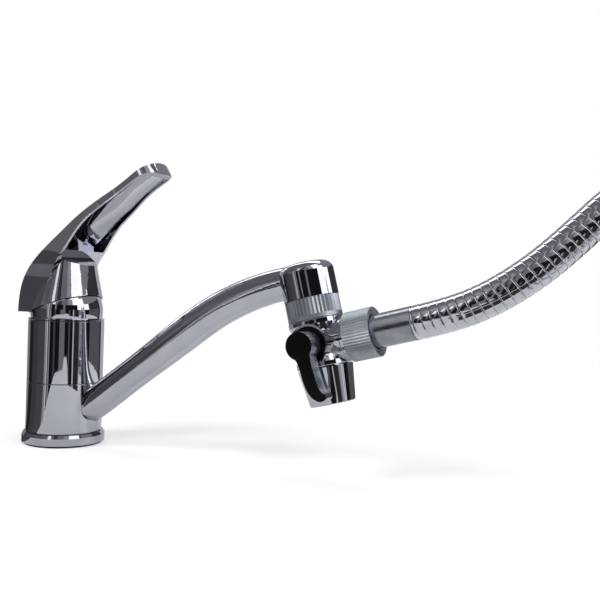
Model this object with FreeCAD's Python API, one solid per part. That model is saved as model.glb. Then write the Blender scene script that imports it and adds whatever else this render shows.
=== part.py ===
import FreeCAD, Part
import math
import os

# Single-lever sink mixer with a swivel spout, a diverter valve on the spout's mouth
# and a shower hose on the diverter's side branch.
# Millimetres, +Z up. The origin is the centre of the base underside, on the sink deck.
# The spout reaches out along +X, and the lever stands raised, as when water runs.

os.makedirs("parts", exist_ok=True)
Vec = FreeCAD.Vector
X_AXIS = Vec(1, 0, 0)
Y_AXIS = Vec(0, 1, 0)
Z_AXIS = Vec(0, 0, 1)

# Fits and gaps
RUN_GAP = 0.08          # radial gap of a turning fit
FIT_GAP = 0.03          # radial gap of a seated fit
FACE_GAP = 0.05         # axial gap of a turning face
SEAM = 0.25             # visible seam between two turning shells

# Column: base ring, spout hub, body
BARREL_R = 17.0
HUB_WALL = 5.0          # barrel to the outside of the hub and body
BASE_STEP = 2.0         # how far the base ring stands out
WASHER_WIDE = 3.6
GASKET_T = 1.2
BASE_H = 6.0
BASE_EDGE = 0.9
HUB_H = 29.25
WASHER_T = 1.4
BODY_H = 36.4
CHAMBER_FLOOR = 4.0
CHAMBER_R = 17.6
THREAD_R = 18.6
NUT_THREAD_H = 10.3
EDGE = 0.4

# Ports through the barrel
INLET_Y = 8.0
INLET_R = 4.0
INLET_THREAD_R = 5.0
INLET_THREAD_H = 12.0
STUD_X = -9.5
STUD_R = 4.0
STUD_H = 16.0
OUT_X = 9.0
OUT_R = 3.8
GALLERY_H = 10.0
GALLERY_DEPTH = 2.2
RING_W = 2.6
RING_DEPTH = 2.1
RING_INSET = 6.2

# Spout arm and head
ARM_START_X = 19.5
ARM_START_UP = 14.6
ARM_SLOPE = 35.5
ARM_STRAIGHT = 90.0
ARM_BEND_R = 150.0
ARM_END_SLOPE = 8.0
ARM_HALF_ROOT = 9.0
ARM_HALF_MID = 9.7
ARM_HALF_END = 8.3
ARM_WIDTH_SHARE = 0.93
ARM_BORE = 5.6
HEAD_R = 14.3
HEAD_H = 18.4
HEAD_ROUND = 5.0

# Diverter: its axis leans out from the spout's mouth
MOUTH_X = 164.3
MOUTH_Z = 82.8
TILT = 14.7
NUT_R = 14.0
NUT_H = 8.6
NUT_LIP_H = 2.2
NUT_LIP_R = 14.1
KNURLS = 44
KNURL_DEPTH = 0.45
SPIGOT_R = 12.0
SPIGOT_BORE = 8.0
SPIGOT_END = 3.2
NECK_R = 10.0
NECK_TOP = 1.2
COLLAR_T = 0.8
VALVE_TOP = -2.4
VALVE_R = 14.4
VALVE_WAIST_R = 12.2
VALVE_BAND = 2.4
VALVE_BOTTOM = -26.3
VALVE_Z = -14.7
BORE_R = 6.5
BALL_R = 8.6
BALL_PORT_R = 4.8
BALL_ROOM = 0.2
SEAT_R = 6.8
SEAT_BORE = 4.9
SEAT_END = 9.5
STEM_R = 4.0
STEM_FLAT = 5.6
FRONT_BOSS_R = 10.3
FRONT_BOSS_END = 15.0
BONNET_R = 9.3
BONNET_FLANGE_T = 1.8
BONNET_RECESS = 0.6
SIDE_BOSS_R = 11.4
SIDE_BOSS_END = 14.6
TAIL_R = 11.8
TAIL_H = 7.0
CONE_TOP_R = 14.2
CONE_END_R = 11.7
CONE_H = 18.9
CONE_LIP = 2.4
CONE_LIP_R = 9.0
INSERT_R = 9.7
GASKET_RING_T = 1.8
STRAIGHTENER_HOLE = 1.5

# Diverter lever, black plastic
TURN_HUB_R = 6.9
TURN_END = 26.5
TURN_T = 7.6
TURN_GAP = 0.4

# Branch and hose ends
BRANCH_COLLAR_R = 10.9
BRANCH_COLLAR_END = 16.5
HOSE_NUT_START = 16.8
HOSE_NUT_L = 14.3
HOSE_NUT_R = 12.6
HOSE_KNURLS = 56
PIPE_THREAD_R = 10.4
NIPPLE_ROOT_R = 9.0
NIPPLE_BORE = 6.4
NIPPLE_END = 26.0
HOSE_GASKET_T = 1.6
FLANGE_T = 1.4
FLANGE_R = 10.1
TAIL_TUBE_R = 5.0
TAIL_TUBE_BORE = 3.8
TAIL_TUBE_L = 16.0
FERRULE_R = 8.45
FERRULE_END = 50.6
FERRULE_GAP = 0.45

# Hose
HOSE_R = 8.4
HOSE_BORE = 5.1
HOSE_GROOVE = 0.45
RIB_PITCH = 4.4
RIB_EDGE = 0.45
RIB_SLOT = 0.35
END_NUT_L = 24.0
END_NUT_R = 12.3
END_NUT_BACK_R = 10.2
END_FLANGE_AT = 11.0
END_FERRULE_TO = 36.0
END_RELIEF = 0.35       # depth of the thread relief groove
END_NUT_STRAIGHT = 9.0

# Coil on the deck
TURN_GAP = 0.8
HANK_LIFT = 1.2
HANK_X = 555.0
HANK_Y = -18.0
HANK_R = 50.0
HANK_RUN = 115.0
HANK_STEP_FROM = 40.0
HANK_STEP_TO = 26.0
HANK_LEAD = 17.0
HANK_END_TURN = 220.0
HANK_END_BEND_R = 90.0
HANK_END_RISE = 12.0
TIE_T = 0.8
TIE_GAP = 0.3
TIE_W = 10.0
TIE_ANGLE = 0.0

# Cartridge, 35 mm class
SEAL_T = 1.2
SEAL_R = 5.4
SEAL_IN = 4.2
CART_R = 17.5
CART_BASE_T = 3.8
CART_WALL = 2.2
CART_BODY_H = 23.8
CART_ROOF_T = 2.0
CART_NECK_R = 13.2
CART_NECK_TOP = 84.0
ROTOR_R = 11.0
ROTOR_TOP = 85.0
ROTOR_FLANGE_R = 15.2
ROTOR_FLANGE_T = 2.9
ROTOR_SLOT_X = 9.2
ROTOR_SLOT_Y = 4.9
LUG_X = 6.0
DISC_FIXED_T = 4.0
DISC_MOVE_T = 3.9
DISC_MOVE_R = 11.3
DISC_OFFSET = 3.5
CARRIER_T = 3.0
CARRIER_FLAT_Y = 10.8
TOWER_R = 5.6
TOWER_H = 6.4
SOCKET_R = 2.5
ARM_BALL_R = 2.35
ARM_BALL_DOWN = 17.5
ARM_ROD_R = 1.8
PIVOT_Z = 78.7
PIN_R = 1.5
SPINDLE_SIDE = 8.0
SPINDLE_FOOT = 5.0
SPINDLE_UP = 28.0
EYE_R = 4.5

# Retaining nut and ball cap
LOCK_TOP = 76.5
CAP_BALL_R = 21.0
CAP_WALL = 1.6
CAP_OPEN_R = 15.9
CAP_FOOT_H = 0.7

# Lever handle
LIFT = 20.0
RIM_UP = 2.9
RIM_R = 22.2
HANDLE_GAP = 0.35
DOME_TOP_X = 4.3
DOME_TOP_Z = 110.5
DOME_TOP_LONG = 12.5
DOME_TOP_WIDE = 15.0
DOME_TOP_DROP = 20.0
HOOD_BOTTOM_Z = 77.8
TIP_ROUND = 12.0
TIP_WIDE = 13.4
CHANNEL_RIM = 1.8
BOSS_R = 7.5
BOSS_FOOT = 13.5
SCREW_UP = 24.6
SCREW_R = 2.5
SCREW_L = 7.0
PLUG_R = 3.1
PLUG_IN = 13.0

# Heights worked out from the sizes above
BASE_Z = GASKET_T
BASE_TOP = BASE_Z + BASE_H
HUB_Z = BASE_TOP + SEAM
HUB_TOP = HUB_Z + HUB_H
BODY_Z = HUB_TOP + SEAM
BODY_TOP = BODY_Z + BODY_H
CHAMBER_Z = BODY_Z + CHAMBER_FLOOR
CART_Z = CHAMBER_Z + SEAL_T
DISC_Z = CART_Z + CART_BASE_T
MOVE_Z = DISC_Z + DISC_FIXED_T + FACE_GAP
CARRIER_Z = MOVE_Z + DISC_MOVE_T
TOWER_TOP = CARRIER_Z + CARRIER_T + TOWER_H
CART_SHOULDER = CART_Z + CART_BODY_H
CART_ROOF = CART_SHOULDER - CART_ROOF_T
CAP_Z = BODY_TOP + SEAM
GALLERY_Z = (HUB_Z + HUB_TOP - GALLERY_H) / 2
HUB_BORE = BARREL_R + RUN_GAP
WASHER_R = BARREL_R + WASHER_WIDE
BODY_R = BARREL_R + HUB_WALL
BASE_R = BODY_R + BASE_STEP
LIFT_RAD = math.radians(LIFT)
TILT_RAD = math.radians(TILT)
BALL_SHIFT = ARM_BALL_DOWN * math.sin(LIFT_RAD)
DISC_X = BALL_SHIFT - DISC_OFFSET

solids = {}


def save(name, shape):
    """Keep one closed solid under its node name and write its STEP file."""
    if len(shape.Solids) != 1 or not shape.isValid():
        print("CHECK", name, "solids", len(shape.Solids), "valid", shape.isValid())
    if len(shape.Solids) == 1:
        shape = shape.Solids[0]
    solids[name] = shape
    shape.exportStep("parts/" + name + ".step")
    box = shape.BoundBox
    print("%-24s %9.1f mm3  x %.1f..%.1f y %.1f..%.1f z %.1f..%.1f" % (
        name, shape.Volume, box.XMin, box.XMax, box.YMin, box.YMax, box.ZMin, box.ZMax))


def rod(radius, start, end):
    """A cylinder between two points."""
    return Part.makeCylinder(radius, (end - start).Length, start, end - start)


def disc(radius, low, high, x=0.0, y=0.0):
    """An upright cylinder between two heights."""
    return Part.makeCylinder(radius, high - low, Vec(x, y, low))


def ring(outer, inner, low, high, x=0.0, y=0.0):
    """An upright ring between two heights."""
    return disc(outer, low, high, x, y).cut(disc(inner, low - 1, high + 1, x, y))


def turned(points):
    """A solid turned about Z from (radius, height) points."""
    corners = [Vec(r, 0, z) for r, z in points]
    face = Part.Face(Part.makePolygon(corners + corners[:1]))
    return face.revolve(Vec(0, 0, 0), Z_AXIS, 360)


def block(x0, x1, y0, y1, z0, z1):
    """A box between two corners."""
    return Part.makeBox(x1 - x0, y1 - y0, z1 - z0, Vec(x0, y0, z0))


def slab(points, y0, y1):
    """A straight extrusion along Y of an outline of (x, z) points."""
    corners = [Vec(x, y0, z) for x, z in points]
    return Part.Face(Part.makePolygon(corners + corners[:1])).extrude(Vec(0, y1 - y0, 0))


def knurled(radius, depth, count, low, high):
    """A star-shaped prism: the straight knurl of a hand nut."""
    corners = []
    for i in range(2 * count):
        reach = radius if i % 2 == 0 else radius - depth
        angle = math.pi * i / count
        corners.append(Vec(reach * math.cos(angle), reach * math.sin(angle), low))
    return Part.Face(Part.makePolygon(corners + corners[:1])).extrude(Vec(0, 0, high - low))


def placed(shape, foot, axis, angle):
    """Turn a copy about an axis through the origin, then carry the origin to a point."""
    out = shape.copy()
    place = FreeCAD.Placement(foot, FreeCAD.Rotation(axis, angle))
    out.Placement = place.multiply(out.Placement)
    return out


def at_mouth(shape):
    """From the diverter's own frame (Z up its axis, X along the branch) to the part."""
    return placed(shape, Vec(MOUTH_X, 0, MOUTH_Z), Vec(0, -1, 0), TILT)


def at_lever(shape):
    """From the lever's own frame (origin at its pivot, Z up the spindle) to the part."""
    return placed(shape, Vec(0, 0, PIVOT_Z), Vec(0, -1, 0), LIFT)


def along_branch(shape):
    """From a frame with Z out along the branch to the diverter's own frame."""
    return placed(shape, Vec(0, 0, VALVE_Z), Y_AXIS, 90)


def to_front(shape):
    """From a frame with Z out of the front boss to the diverter's own frame."""
    return placed(shape, Vec(0, 0, VALVE_Z), X_AXIS, 90)


# Base ring and its gasket

def make_base():
    """The flange that covers the deck hole, and the soft ring under it."""
    save("base_gasket", ring(BASE_R - 1.5, BARREL_R + FIT_GAP, 0, GASKET_T))
    flange = turned([
        (BARREL_R + FIT_GAP, BASE_Z), (BASE_R, BASE_Z), (BASE_R, BASE_TOP - 2 * BASE_EDGE),
        (BASE_R - BASE_EDGE, BASE_TOP), (BARREL_R + FIT_GAP, BASE_TOP)])
    save("base_ring", flange)


# Body

def ring_groove_heights():
    """The middle heights of the two sealing rings on the barrel."""
    return (GALLERY_Z - RING_INSET + RING_W / 2, GALLERY_Z + GALLERY_H + RING_INSET - RING_W / 2)


def make_body():
    """The casting: barrel inside the spout hub, chamber for the cartridge above."""
    body = disc(BARREL_R, 0, BODY_Z + 1)
    shell = turned([
        (0, BODY_Z), (BODY_R, BODY_Z), (BODY_R, BODY_TOP - EDGE), (BODY_R - EDGE, BODY_TOP),
        (0, BODY_TOP)])
    body = body.fuse(shell)
    body = body.cut(disc(CHAMBER_R, CHAMBER_Z, BODY_TOP + 1))
    body = body.cut(disc(THREAD_R, BODY_TOP - NUT_THREAD_H, BODY_TOP + 1))
    for side in (-1, 1):
        y = side * INLET_Y
        body = body.cut(disc(INLET_R, -1, CHAMBER_Z + 1, 0, y))
        body = body.cut(disc(INLET_THREAD_R, -1, INLET_THREAD_H, 0, y))
    body = body.cut(disc(STUD_R, -1, STUD_H, STUD_X))
    port_z = GALLERY_Z + GALLERY_H / 2
    body = body.cut(disc(OUT_R, port_z, CHAMBER_Z + 1, OUT_X))
    body = body.cut(rod(OUT_R, Vec(OUT_X - OUT_R / 2, 0, port_z), Vec(BARREL_R + 2, 0, port_z)))
    for z in ring_groove_heights():
        low = z - RING_W / 2
        body = body.cut(ring(BARREL_R + 1, BARREL_R - RING_DEPTH, low, low + RING_W))
    save("body", body.removeSplitter())


def make_swivel_seals():
    """Two sealing rings and two slip washers between the barrel and the spout hub."""
    outer = HUB_BORE - FIT_GAP
    inner = BARREL_R - RING_DEPTH
    for name, z in zip(("o_ring_lower", "o_ring_upper"), ring_groove_heights()):
        low = z - RING_W / 2
        seal = ring(outer, inner, low, low + RING_W)
        seal = seal.makeFillet(0.7, [e for e in seal.Edges if e.Curve.TypeId == "Part::GeomCircle"])
        save(name, seal)
    washer_in = BARREL_R + FIT_GAP
    save("slip_washer_lower", ring(WASHER_R, washer_in, BASE_TOP, BASE_TOP + WASHER_T))
    save("slip_washer_upper", ring(WASHER_R, washer_in, BODY_Z - WASHER_T, BODY_Z))


# Spout

def arm_path(count=9):
    """Points, headings and half heights along the arm: a straight run, then one bend."""
    slope = math.radians(ARM_SLOPE)
    end_slope = math.radians(ARM_END_SLOPE)
    start = Vec(ARM_START_X, 0, HUB_Z + ARM_START_UP)
    stations = []
    for i in range(3):
        share = i / 3
        half = ARM_HALF_ROOT + (ARM_HALF_MID - ARM_HALF_ROOT) * share
        run = ARM_STRAIGHT * share
        place = start + Vec(run * math.cos(slope), 0, run * math.sin(slope))
        stations.append((place, slope, half))
    bend = start + Vec(ARM_STRAIGHT * math.cos(slope), 0, ARM_STRAIGHT * math.sin(slope))
    for i in range(count - 3):
        share = i / (count - 4)
        angle = slope + (end_slope - slope) * share
        place = bend + Vec(
            ARM_BEND_R * (math.sin(slope) - math.sin(angle)), 0,
            ARM_BEND_R * (math.cos(angle) - math.cos(slope)))
        half = ARM_HALF_MID + (ARM_HALF_END - ARM_HALF_MID) * share
        stations.append((place, angle, half))
    return stations


def arm_solid(shrink=None):
    """A loft through upright ellipses along the arm, or through round bores."""
    wires = []
    for place, angle, half in arm_path():
        up = Vec(-math.sin(angle), 0, math.cos(angle))
        tall = half if shrink is None else ARM_BORE * 1.02
        wide = half * ARM_WIDTH_SHARE if shrink is None else ARM_BORE
        oval = Part.Ellipse(place + up * tall, place + Y_AXIS * wide, place)
        wires.append(Part.Wire(oval.toShape()))
    return Part.makeLoft(wires, True, False)


def make_spout():
    """The hub, and the arm and head brazed to it, with a threaded spigot for the diverter."""
    hub_size = (BODY_R, HUB_Z, HUB_TOP)
    hub = turned([
        (0, HUB_Z), (BODY_R - EDGE, HUB_Z), (BODY_R, HUB_Z + EDGE), (BODY_R, HUB_TOP - EDGE),
        (BODY_R - EDGE, HUB_TOP), (0, HUB_TOP)])
    head = disc(HEAD_R, NUT_H + SEAM, NUT_H + HEAD_H)
    rim = [e for e in head.Edges if abs(e.BoundBox.ZMin - NUT_H - HEAD_H) < 0.01
           and e.Curve.TypeId == "Part::GeomCircle"]
    head = head.makeFillet(HEAD_ROUND, rim)
    head = head.fuse(disc(SPIGOT_R, SPIGOT_END, NUT_H + 1))
    hub = hub.cut(disc(HUB_BORE, HUB_Z - 1, HUB_TOP + 1))
    hub = hub.cut(ring(HUB_BORE + GALLERY_DEPTH, HUB_BORE - 1, GALLERY_Z,
                       GALLERY_Z + GALLERY_H))
    low = BASE_TOP + WASHER_T + FACE_GAP
    high = BODY_Z - WASHER_T - FACE_GAP
    hub = hub.cut(disc(WASHER_R + 0.2, HUB_Z - 1, low))
    hub = hub.cut(disc(WASHER_R + 0.2, high, HUB_TOP + 1))
    water_way = arm_solid(shrink=True)
    save("spout_hub", hub.cut(water_way))
    arm = arm_solid().fuse(at_mouth(head)).cut(disc(*hub_size))
    arm = arm.cut(water_way)
    arm = arm.cut(at_mouth(disc(SPIGOT_BORE, SPIGOT_END - 1, NUT_H + HEAD_H - 5)))
    save("spout", arm)


# Diverter nut and inlet

def make_mouth_parts():
    """The knurled nut that clamps the diverter on the spout's spigot, and what it holds."""
    nut = knurled(NUT_R, KNURL_DEPTH, KNURLS, 0, NUT_H)
    nut = nut.fuse(disc(NUT_LIP_R, -NUT_LIP_H, 0.01))
    nut = nut.cut(disc(SPIGOT_R + FIT_GAP, -0.4, NUT_H + 1))
    nut = nut.cut(disc(NECK_R + FIT_GAP, -NUT_LIP_H - 1, 0))
    save("spout_nut", at_mouth(nut.removeSplitter()))
    snap = ring(SPIGOT_R - 0.4, NECK_R - 0.9, -0.4, -0.4 + COLLAR_T)
    snap = snap.cut(block(0, SPIGOT_R, -0.8, 0.8, -1, 1))
    save("snap_ring", at_mouth(snap))
    save("inlet_gasket", at_mouth(ring(SPIGOT_R - 0.4, SPIGOT_BORE, NECK_TOP, SPIGOT_END)))


def make_valve_body():
    """The diverter's casting: waisted barrel, front boss, side boss, threaded tail."""
    band_low = VALVE_BOTTOM + VALVE_BAND
    band_high = VALVE_TOP - VALVE_BAND
    corners = [Vec(0, 0, VALVE_TOP), Vec(VALVE_R - EDGE, 0, VALVE_TOP),
               Vec(VALVE_R, 0, VALVE_TOP - EDGE), Vec(VALVE_R, 0, band_high)]
    waist = Part.Arc(Vec(VALVE_R, 0, band_high), Vec(VALVE_WAIST_R, 0, VALVE_Z),
                     Vec(VALVE_R, 0, band_low)).toShape()
    rest = [Vec(VALVE_R, 0, band_low), Vec(VALVE_R, 0, VALVE_BOTTOM + EDGE),
            Vec(VALVE_R - EDGE, 0, VALVE_BOTTOM), Vec(0, 0, VALVE_BOTTOM), Vec(0, 0, VALVE_TOP)]
    edges = Part.makePolygon(corners).Edges + [waist] + Part.makePolygon(rest).Edges
    barrel = Part.Face(Part.Wire(edges)).revolve(Vec(0, 0, 0), Z_AXIS, 360)
    body = barrel.fuse(disc(NECK_R, VALVE_TOP - 1, NECK_TOP))
    body = body.fuse(disc(TAIL_R, VALVE_BOTTOM - TAIL_H, VALVE_BOTTOM + 1))
    body = body.fuse(to_front(disc(FRONT_BOSS_R, 0, FRONT_BOSS_END)))
    body = body.fuse(along_branch(disc(SIDE_BOSS_R, 0, SIDE_BOSS_END)))
    room = BALL_R + BALL_ROOM
    body = body.cut(disc(BORE_R, VALVE_BOTTOM - TAIL_H - 1, NECK_TOP + 1))
    body = body.cut(disc(SEAT_R, VALVE_Z - SEAT_END, VALVE_Z + SEAT_END))
    body = body.cut(along_branch(disc(SEAT_R, 0, SEAT_END)))
    body = body.cut(along_branch(disc(NIPPLE_ROOT_R, SEAT_END, SIDE_BOSS_END + 1)))
    body = body.cut(to_front(disc(room, -room, FRONT_BOSS_END + 1)))
    flange_in = FRONT_BOSS_END - BONNET_RECESS - BONNET_FLANGE_T
    body = body.cut(to_front(disc(BONNET_R + FIT_GAP, flange_in, FRONT_BOSS_END + 1)))
    body = body.cut(ring(NECK_R + 1, NECK_R - 0.9 - FIT_GAP, -0.4, -0.4 + COLLAR_T))
    save("valve_body", at_mouth(body.removeSplitter()))


def make_valve_inside():
    """Ball with its stem, three soft seats, bonnet and the stem's sealing ring."""
    ball = Part.makeSphere(BALL_R)
    ball = ball.cut(Part.makeCylinder(BALL_PORT_R, 2 * BALL_R + 2, Vec(0, 0, -BALL_R - 1)))
    ball = ball.cut(rod(BALL_PORT_R, Vec(0, 0, 0), Vec(-BALL_R - 1, 0, 0)))
    stem_end = TURN_END - 3
    stem = rod(STEM_R, Vec(0, -BALL_R + 1, 0), Vec(0, -FRONT_BOSS_END - 1, 0))
    half = STEM_FLAT / 2
    flat = block(-half, half, -stem_end, -FRONT_BOSS_END, -half, half)
    ball = ball.fuse([stem, flat])
    ball.translate(Vec(0, 0, VALVE_Z))
    save("valve_ball", at_mouth(ball.removeSplitter()))
    hollow = Part.makeSphere(BALL_R + FACE_GAP)
    seat = ring(SEAT_R, SEAT_BORE, SEAT_R, SEAT_END).cut(hollow)
    for name, axis, angle in (("seat_inlet", Y_AXIS, 0), ("seat_outlet", Y_AXIS, 180),
                              ("seat_branch", Y_AXIS, 90)):
        save(name, at_mouth(placed(seat, Vec(0, 0, VALVE_Z), axis, angle)))
    flange_in = FRONT_BOSS_END - BONNET_RECESS - BONNET_FLANGE_T
    flange_out = FRONT_BOSS_END - BONNET_RECESS
    bonnet = disc(BONNET_R, flange_in, flange_out)
    bonnet = bonnet.fuse(disc(BALL_R + BALL_ROOM - FIT_GAP, BALL_R + 0.5, flange_in))
    bonnet = bonnet.cut(disc(STEM_R + FACE_GAP, 0, FRONT_BOSS_END))
    groove = BALL_R + 1.4
    bonnet = bonnet.cut(disc(STEM_R + 1.5, groove, groove + 1.8))
    save("bonnet", at_mouth(to_front(bonnet.removeSplitter())))
    save("stem_seal", at_mouth(to_front(ring(STEM_R + 1.5, STEM_R + FACE_GAP, groove,
                                             groove + 1.8))))


def make_turn_lever():
    """The black diverter lever: a round hub and a thumb blade that hooks at its tip."""
    flange_out = FRONT_BOSS_END - BONNET_RECESS
    hub = to_front(disc(TURN_HUB_R, flange_out + TURN_GAP, TURN_END))
    y0 = -TURN_END
    left = [(-4.4, -19.0), (-2.1, -24.0), (-1.6, -29.0), (-0.8, -34.6), (0.9, -39.0)]
    right = [(8.5, -39.4), (6.2, -36.6), (5.4, -32.0), (4.9, -27.0), (5.0, -18.5)]
    tip = [(3.3, -41.6), (6.4, -42.6), (9.1, -41.4)]
    left_curve = Part.BSplineCurve()
    left_curve.interpolate([Vec(x, y0, z) for x, z in left + tip[:1]])
    right_curve = Part.BSplineCurve()
    right_curve.interpolate([Vec(x, y0, z) for x, z in right])
    start = Vec(left[0][0], y0, left[0][1])
    low = Vec(tip[0][0], y0, tip[0][1])
    cap = Part.Arc(low, Vec(tip[1][0], y0, tip[1][1]), Vec(tip[2][0], y0, tip[2][1]))
    nose = Vec(tip[2][0], y0, tip[2][1])
    corner = Vec(right[0][0], y0, right[0][1])
    finish = Vec(right[-1][0], y0, right[-1][1])
    edges = [left_curve.toShape(), cap.toShape(), Part.makeLine(nose, corner),
             right_curve.toShape(), Part.makeLine(finish, start)]
    blade = Part.Face(Part.Wire(edges)).extrude(Vec(0, TURN_T, 0))
    lever = hub.fuse(blade)
    stem_end = TURN_END - 3
    half = STEM_FLAT / 2 + FIT_GAP
    socket = block(-half, half, -stem_end - FIT_GAP, -flange_out, VALVE_Z - half,
                   VALVE_Z + half)
    lever = lever.cut(socket)
    collar = to_front(disc(STEM_R + FIT_GAP, flange_out, FRONT_BOSS_END + 1 + FIT_GAP))
    lever = lever.cut(collar)
    save("diverter_lever", at_mouth(lever.removeSplitter()))


def make_outlet():
    """The chrome outlet cone with its soft ring and flow straightener."""
    top = VALVE_BOTTOM - SEAM
    tail_end = VALVE_BOTTOM - TAIL_H
    end = top - CONE_H
    ring_low = tail_end - GASKET_RING_T
    insert_low = end + CONE_LIP
    cone = turned([
        (TAIL_R + FIT_GAP, top), (CONE_TOP_R - EDGE, top), (CONE_TOP_R, top - EDGE),
        (CONE_END_R, end + EDGE), (CONE_END_R - EDGE, end), (CONE_LIP_R, end),
        (CONE_LIP_R, insert_low), (INSERT_R + FIT_GAP, insert_low),
        (INSERT_R + FIT_GAP, tail_end), (TAIL_R + FIT_GAP, tail_end)])
    save("outlet_cone", at_mouth(cone))
    save("outlet_gasket", at_mouth(ring(INSERT_R, BORE_R, ring_low, tail_end)))
    insert = disc(INSERT_R, insert_low, ring_low)
    insert = insert.cut(disc(INSERT_R - 1.2, insert_low + 2.0, ring_low + 1))
    holes = [disc(STRAIGHTENER_HOLE, insert_low - 1, ring_low + 1)]
    for i in range(6):
        angle = math.radians(60 * i)
        holes.append(disc(STRAIGHTENER_HOLE, insert_low - 1, ring_low + 1,
                          4 * math.cos(angle), 4 * math.sin(angle)))
    save("flow_straightener", at_mouth(insert.cut(Part.makeCompound(holes))))


# Branch and the hose's first end

def hose_end(nut_low, nut_high, nut, flange_at, ferrule_out, ferrule_to, bevel):
    """One end of the hose along Z: nut, gasket, tail with its flange, and ferrule."""
    lip_in = flange_at + FLANGE_T
    bore = nut.cut(disc(PIPE_THREAD_R + FIT_GAP, nut_low - 1, lip_in))
    inside = ferrule_out + FERRULE_GAP
    bore = bore.cut(disc(inside, nut_low - 1, nut_high + 1))
    if bevel:
        bore = bore.cut(Part.makeCone(inside, HOSE_NUT_R - 1.2, bevel,
                                      Vec(0, 0, nut_high - bevel)))
    gasket = ring(PIPE_THREAD_R - 0.1, TAIL_TUBE_R + 0.6, flange_at - HOSE_GASKET_T, flange_at)
    tail = disc(FLANGE_R, flange_at, lip_in).fuse(
        disc(TAIL_TUBE_R, flange_at, lip_in + TAIL_TUBE_L))
    tail = tail.cut(disc(TAIL_TUBE_BORE, flange_at - 1, lip_in + TAIL_TUBE_L + 1))
    sleeve = ring(ferrule_out, TAIL_TUBE_R + FIT_GAP, lip_in, ferrule_to)
    return bore, gasket, tail.removeSplitter(), sleeve


def make_branch():
    """Collar, nipple, knurled hose nut, gasket, tail and ferrule along the branch."""
    collar = ring(BRANCH_COLLAR_R, NIPPLE_ROOT_R + FIT_GAP, SIDE_BOSS_END, BRANCH_COLLAR_END)
    save("branch_collar", at_mouth(along_branch(collar)))
    nipple = disc(NIPPLE_ROOT_R, SEAT_END, BRANCH_COLLAR_END)
    nipple = nipple.fuse(disc(PIPE_THREAD_R, BRANCH_COLLAR_END, NIPPLE_END))
    nipple = nipple.cut(disc(NIPPLE_BORE, 0, NIPPLE_END + 1))
    save("branch_nipple", at_mouth(along_branch(nipple.removeSplitter())))
    high = HOSE_NUT_START + HOSE_NUT_L
    nut = knurled(HOSE_NUT_R, KNURL_DEPTH, HOSE_KNURLS, HOSE_NUT_START, high)
    flange_at = NIPPLE_END + HOSE_GASKET_T
    pieces = hose_end(HOSE_NUT_START, high, nut, flange_at, FERRULE_R, FERRULE_END, 0.9)
    names = ("hose_nut", "hose_gasket", "hose_tail", "hose_ferrule")
    for name, piece in zip(names, pieces):
        save(name, at_mouth(along_branch(piece)))


# Hose route

BRANCH_OUT = Vec(math.cos(TILT_RAD), 0, math.sin(TILT_RAD))
BRANCH_FOOT = Vec(MOUTH_X - VALVE_Z * math.sin(TILT_RAD), 0,
                  MOUTH_Z + VALVE_Z * math.cos(TILT_RAD))
HOSE_START = BRANCH_FOOT + BRANCH_OUT * FERRULE_END
TURN_PITCH = 2 * HOSE_R + TURN_GAP
HANK_Z = HOSE_R + HANK_LIFT
HANK_TOP_Z = HANK_Z + TURN_PITCH
HANK_LEFT = HANK_X - HANK_RUN

# The free stretch: out of the ferrule, up and over, and down on to the hank
FREE_POINTS = (
    HOSE_START, HOSE_START + BRANCH_OUT * 20, Vec(255.6, 2.5, 95.9), Vec(273.1, 8, 109),
    Vec(287.5, 14.8, 123.6), Vec(305, 21.5, 142.5), Vec(330.5, 27.7, 159.8),
    Vec(363, 31, 169.7), Vec(396.7, 32, 165.5), Vec(425.8, 32, 148), Vec(445.3, 32, 120.2),
    Vec(455.8, 32, 87.9), Vec(473.8, 32, 56.7), Vec(500.6, 32, 35.8), Vec(535, 32, HANK_TOP_Z),
    Vec(HANK_X, HANK_Y + HANK_R, HANK_TOP_Z))


def route_edges(points):
    """Straight runs joined by tangent arcs, each as large as its two runs allow."""
    edges = []
    radii = []
    last = points[0]
    for before, corner, after in zip(points, points[1:], points[2:]):
        come = corner - before
        leave = after - corner
        reach = 0.45 * min(come.Length, leave.Length)
        half = come.getAngle(leave) / 2
        radii.append(reach / math.tan(half))
        come.normalize()
        leave.normalize()
        enter = corner - come * reach
        out = corner + leave * reach
        bisector = leave - come
        bisector.normalize()
        middle = corner + bisector * (radii[-1] * (1 / math.cos(half) - 1))
        edges.append(Part.makeLine(last, enter))
        edges.append(Part.Arc(enter, middle, out).toShape())
        last = out
    edges.append(Part.makeLine(last, points[-1]))
    return edges, radii


def station(edges, distance):
    """The point and heading at a distance along the edges."""
    for edge in edges:
        if distance <= edge.Length + 1e-6 or edge is edges[-1]:
            at = edge.getParameterByLength(min(distance, edge.Length))
            return edge.valueAt(at), edge.tangentAt(at)
        distance -= edge.Length
    return None


def round_wire(radius, place, heading):
    """A circle square to the heading whose start lies level beside the route."""
    side = Z_AXIS.cross(heading)
    side.normalize()
    turn = FreeCAD.Rotation(side, heading.cross(side), heading, "ZXY")
    wire = Part.Wire(Part.makeCircle(radius))
    wire.Placement = FreeCAD.Placement(place, turn)
    return wire


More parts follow.
